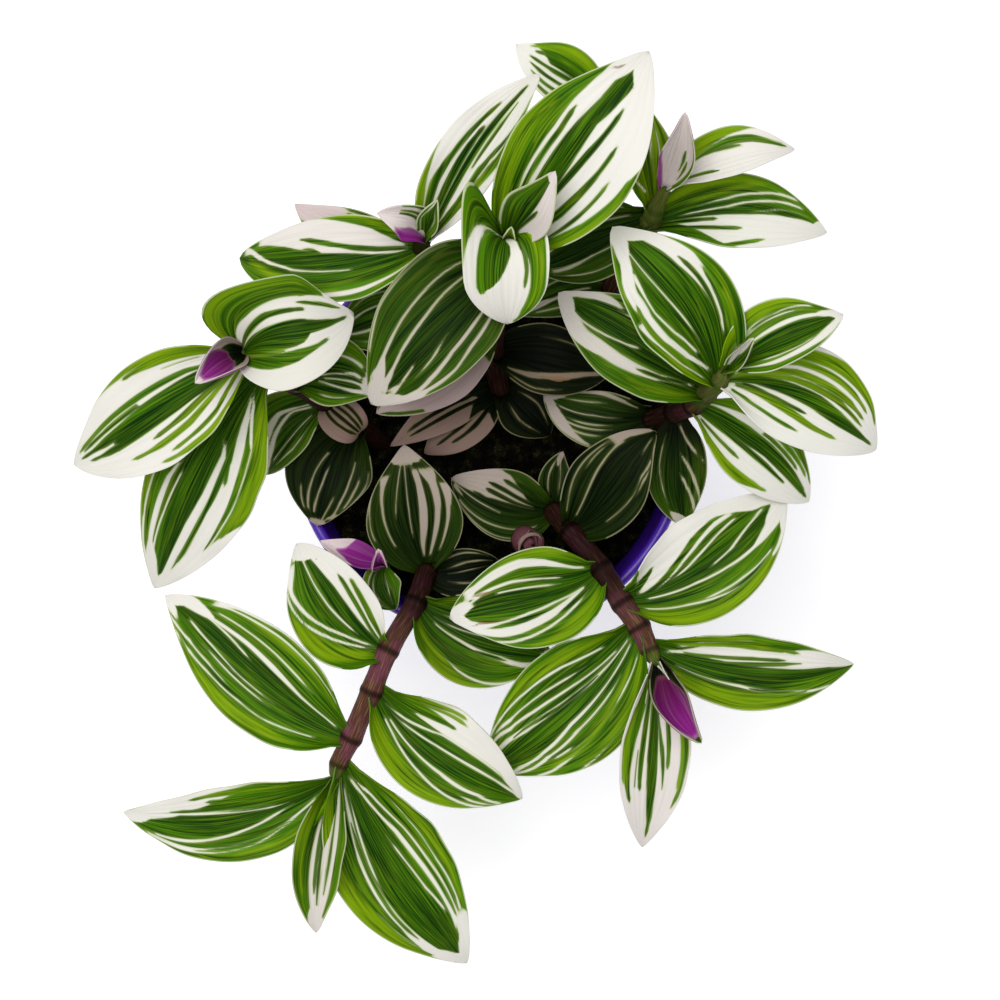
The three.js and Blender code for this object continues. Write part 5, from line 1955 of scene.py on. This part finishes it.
add_leaf(
    right, at=5, heading=146, rise=-1, length=48.5, width=26, sweep=2, droop=4, cup=8, fullness=0.62,
    gloom=0.3, blush=0.2,
    stripes=[
        (
            "white", 40, (4, 10, 8), (12, 22, 14), (25, 37, 20), (38, 44, 26), (50, 48, 30), (60, 50, 34),
            (75, 66, 60), (85, 66, 90), (95, 20, 200), (100, 0, 300),
        ),
        ("green", 4, (8, 14, 3), (22, 34, 5), (38, 43)),
        ("green", 8, (30, 0, 6), (40, 12, 8), (50, 20, 8), (60, 28, 8), (77, 36)),
        ("white", 6, (42, 0), (50, 8, 7), (65, 19, 9), (80, 28, 12), (88, 36, 40)),
        ("white", 40, (62, -60, 6), (70, -72, 24), (80, -82, 40), (90, -80, 60), (100, -40, 120)),
        ("white", 60, (92, 0, 60), (97, 0, 260), (100, 0, 300)),
        ("white", 6, (10, -35), (40, -48), (65, -54)),
        ("lime", 12, (4, 60, 20), (20, 72, 16), (40, 74)),
    ],
)
add_leaf(
    right, at=6, heading=126, rise=13, length=51.5, width=30, lean=-0.05, lift=5, droop=6, cup=12,
    fullness=0.6, gloom=0.08, blush=0.03,
    stripes=[
        ("white", 7, (3, 60, 6), (8, 68), (17, 78, 7), (33, 83, 7), (45, 86, 11), (52, 88, 16)),
        (
            "white", 15, (4, 14, 10), (8, 27, 16), (17, 49, 16), (33, 62, 15), (50, 65, 16), (60, 70, 34),
            (68, 73, 34), (75, 64, 46), (83, 48, 50), (92, 30, 120), (97, 0, 280), (100, 0, 300),
        ),
        ("green", 5, (20, 70, 6), (33, 74, 9), (50, 77, 7), (60, 76)),
        ("green", 5, (42, 50), (50, 51, 8), (60, 52, 6), (68, 55)),
        ("white", 4, (15, 22, 3), (33, 40, 4), (50, 49, 5), (60, 48, 7), (67, 46, 11), (75, 44, 14)),
        ("white", 4, (20, 3), (50, 12, 3), (75, 17, 5), (90, 19, 12)),
        (
            "white", 30, (18, -50, 5), (33, -56, 16), (50, -62, 30), (62, -68, 42), (75, -74, 44),
            (85, -78, 54), (92, -50, 120), (100, -20, 200),
        ),
        ("green", 4, (20, -45), (35, -52), (50, -58), (65, -63)),
        ("green", 4, (23, -60), (40, -68), (53, -76)),
        ("green", 6, (27, -74), (50, -86, 8), (67, -95)),
        ("lime", 16, (2, 90, 24), (20, 92, 14), (40, 91)),
        ("lime", 10, (10, -70), (30, -80), (50, -90)),
    ],
)
add_leaf(
    right, at=6, heading=-22, rise=-21, length=52.5, width=29.5, sweep=1.5, lean=0.18, lift=2, cup=8,
    fullness=0.62, gloom=-0.15, blush=0.03,
    stripes=[
        ALL_WHITE,
        ("lime", 26, (0, 70, 20), (33, 80, 18), (67, 92, 24), (80, 92, 16), (88, 86)),
        ("lime", 9, (5, 42, 6), (20, 58, 8), (33, 65, 9), (67, 67, 9), (79, 66)),
        ("lime", 10, (2, 25, 6), (13, 35, 8), (33, 47, 10), (67, 48, 11), (79, 46)),
        ("lime", 8, (5, 20, 5), (15, 30, 7), (33, 35, 8), (60, 36, 9), (80, 28)),
        (
            "green", 22, (0, 12, 14), (15, 20, 20), (33, 17, 20), (50, 14, 24), (67, 6, 27), (83, 2, 20),
            (93, 1),
        ),
        ("green", 8, (8, 6, 6), (20, -3, 9), (33, -10, 8), (46, -15)),
        ("lime", 14, (5, 0, 8), (20, -12, 14), (33, -22, 17), (45, -32, 15), (55, -40, 10), (68, -46)),
        ("green", 4, (3, -30, 4), (15, -45, 5), (30, -55, 4), (45, -62)),
    ],
)
add_leaf(
    right, at=7, heading=25, rise=8, length=35, width=21.5, lean=0.15, lift=2, droop=4, roll=-20, cup=34,
    gloom=0.05, blush=0.05,
    stripes=[
        ("white", 5, (8, 50), (30, 62), (50, 65), (67, 76), (80, 84, 8)),
        ("white", 4, (8, 46), (30, 54), (50, 58), (72, 66)),
        (
            "white", 14, (4, 20, 5), (25, 30, 9), (50, 36, 13), (67, 42, 13), (80, 46, 20), (90, 55, 60),
            (96, 40, 160), (100, 0, 300),
        ),
        ("green", 3, (63, 22), (72, 30), (82, 36)),
        ("brown", 3, (72, 30), (82, 37)),
        (
            "white", 24, (4, -42, 6), (20, -60, 12), (35, -66, 20), (50, -66, 24), (67, -66, 34),
            (80, -64, 60), (92, -55, 100), (100, 0, 300),
        ),
        ("white", 4, (20, -38), (40, -44), (60, -46), (75, -44)),
        ("lime", 40, (3, 90, 34), (40, 88, 40), (67, 96, 30), (84, 100)),
    ],
)
add_leaf(
    right, at=7, heading=56, rise=56, length=17, width=8, lift=1, droop=0, cup=100, gloom=0.15, blush=0.4,
    plum=0.3,
    stripes=[
        ("white", 60, (10, 40, 40), (100, 20, 120)),
    ],
)
plant_shoot(right)
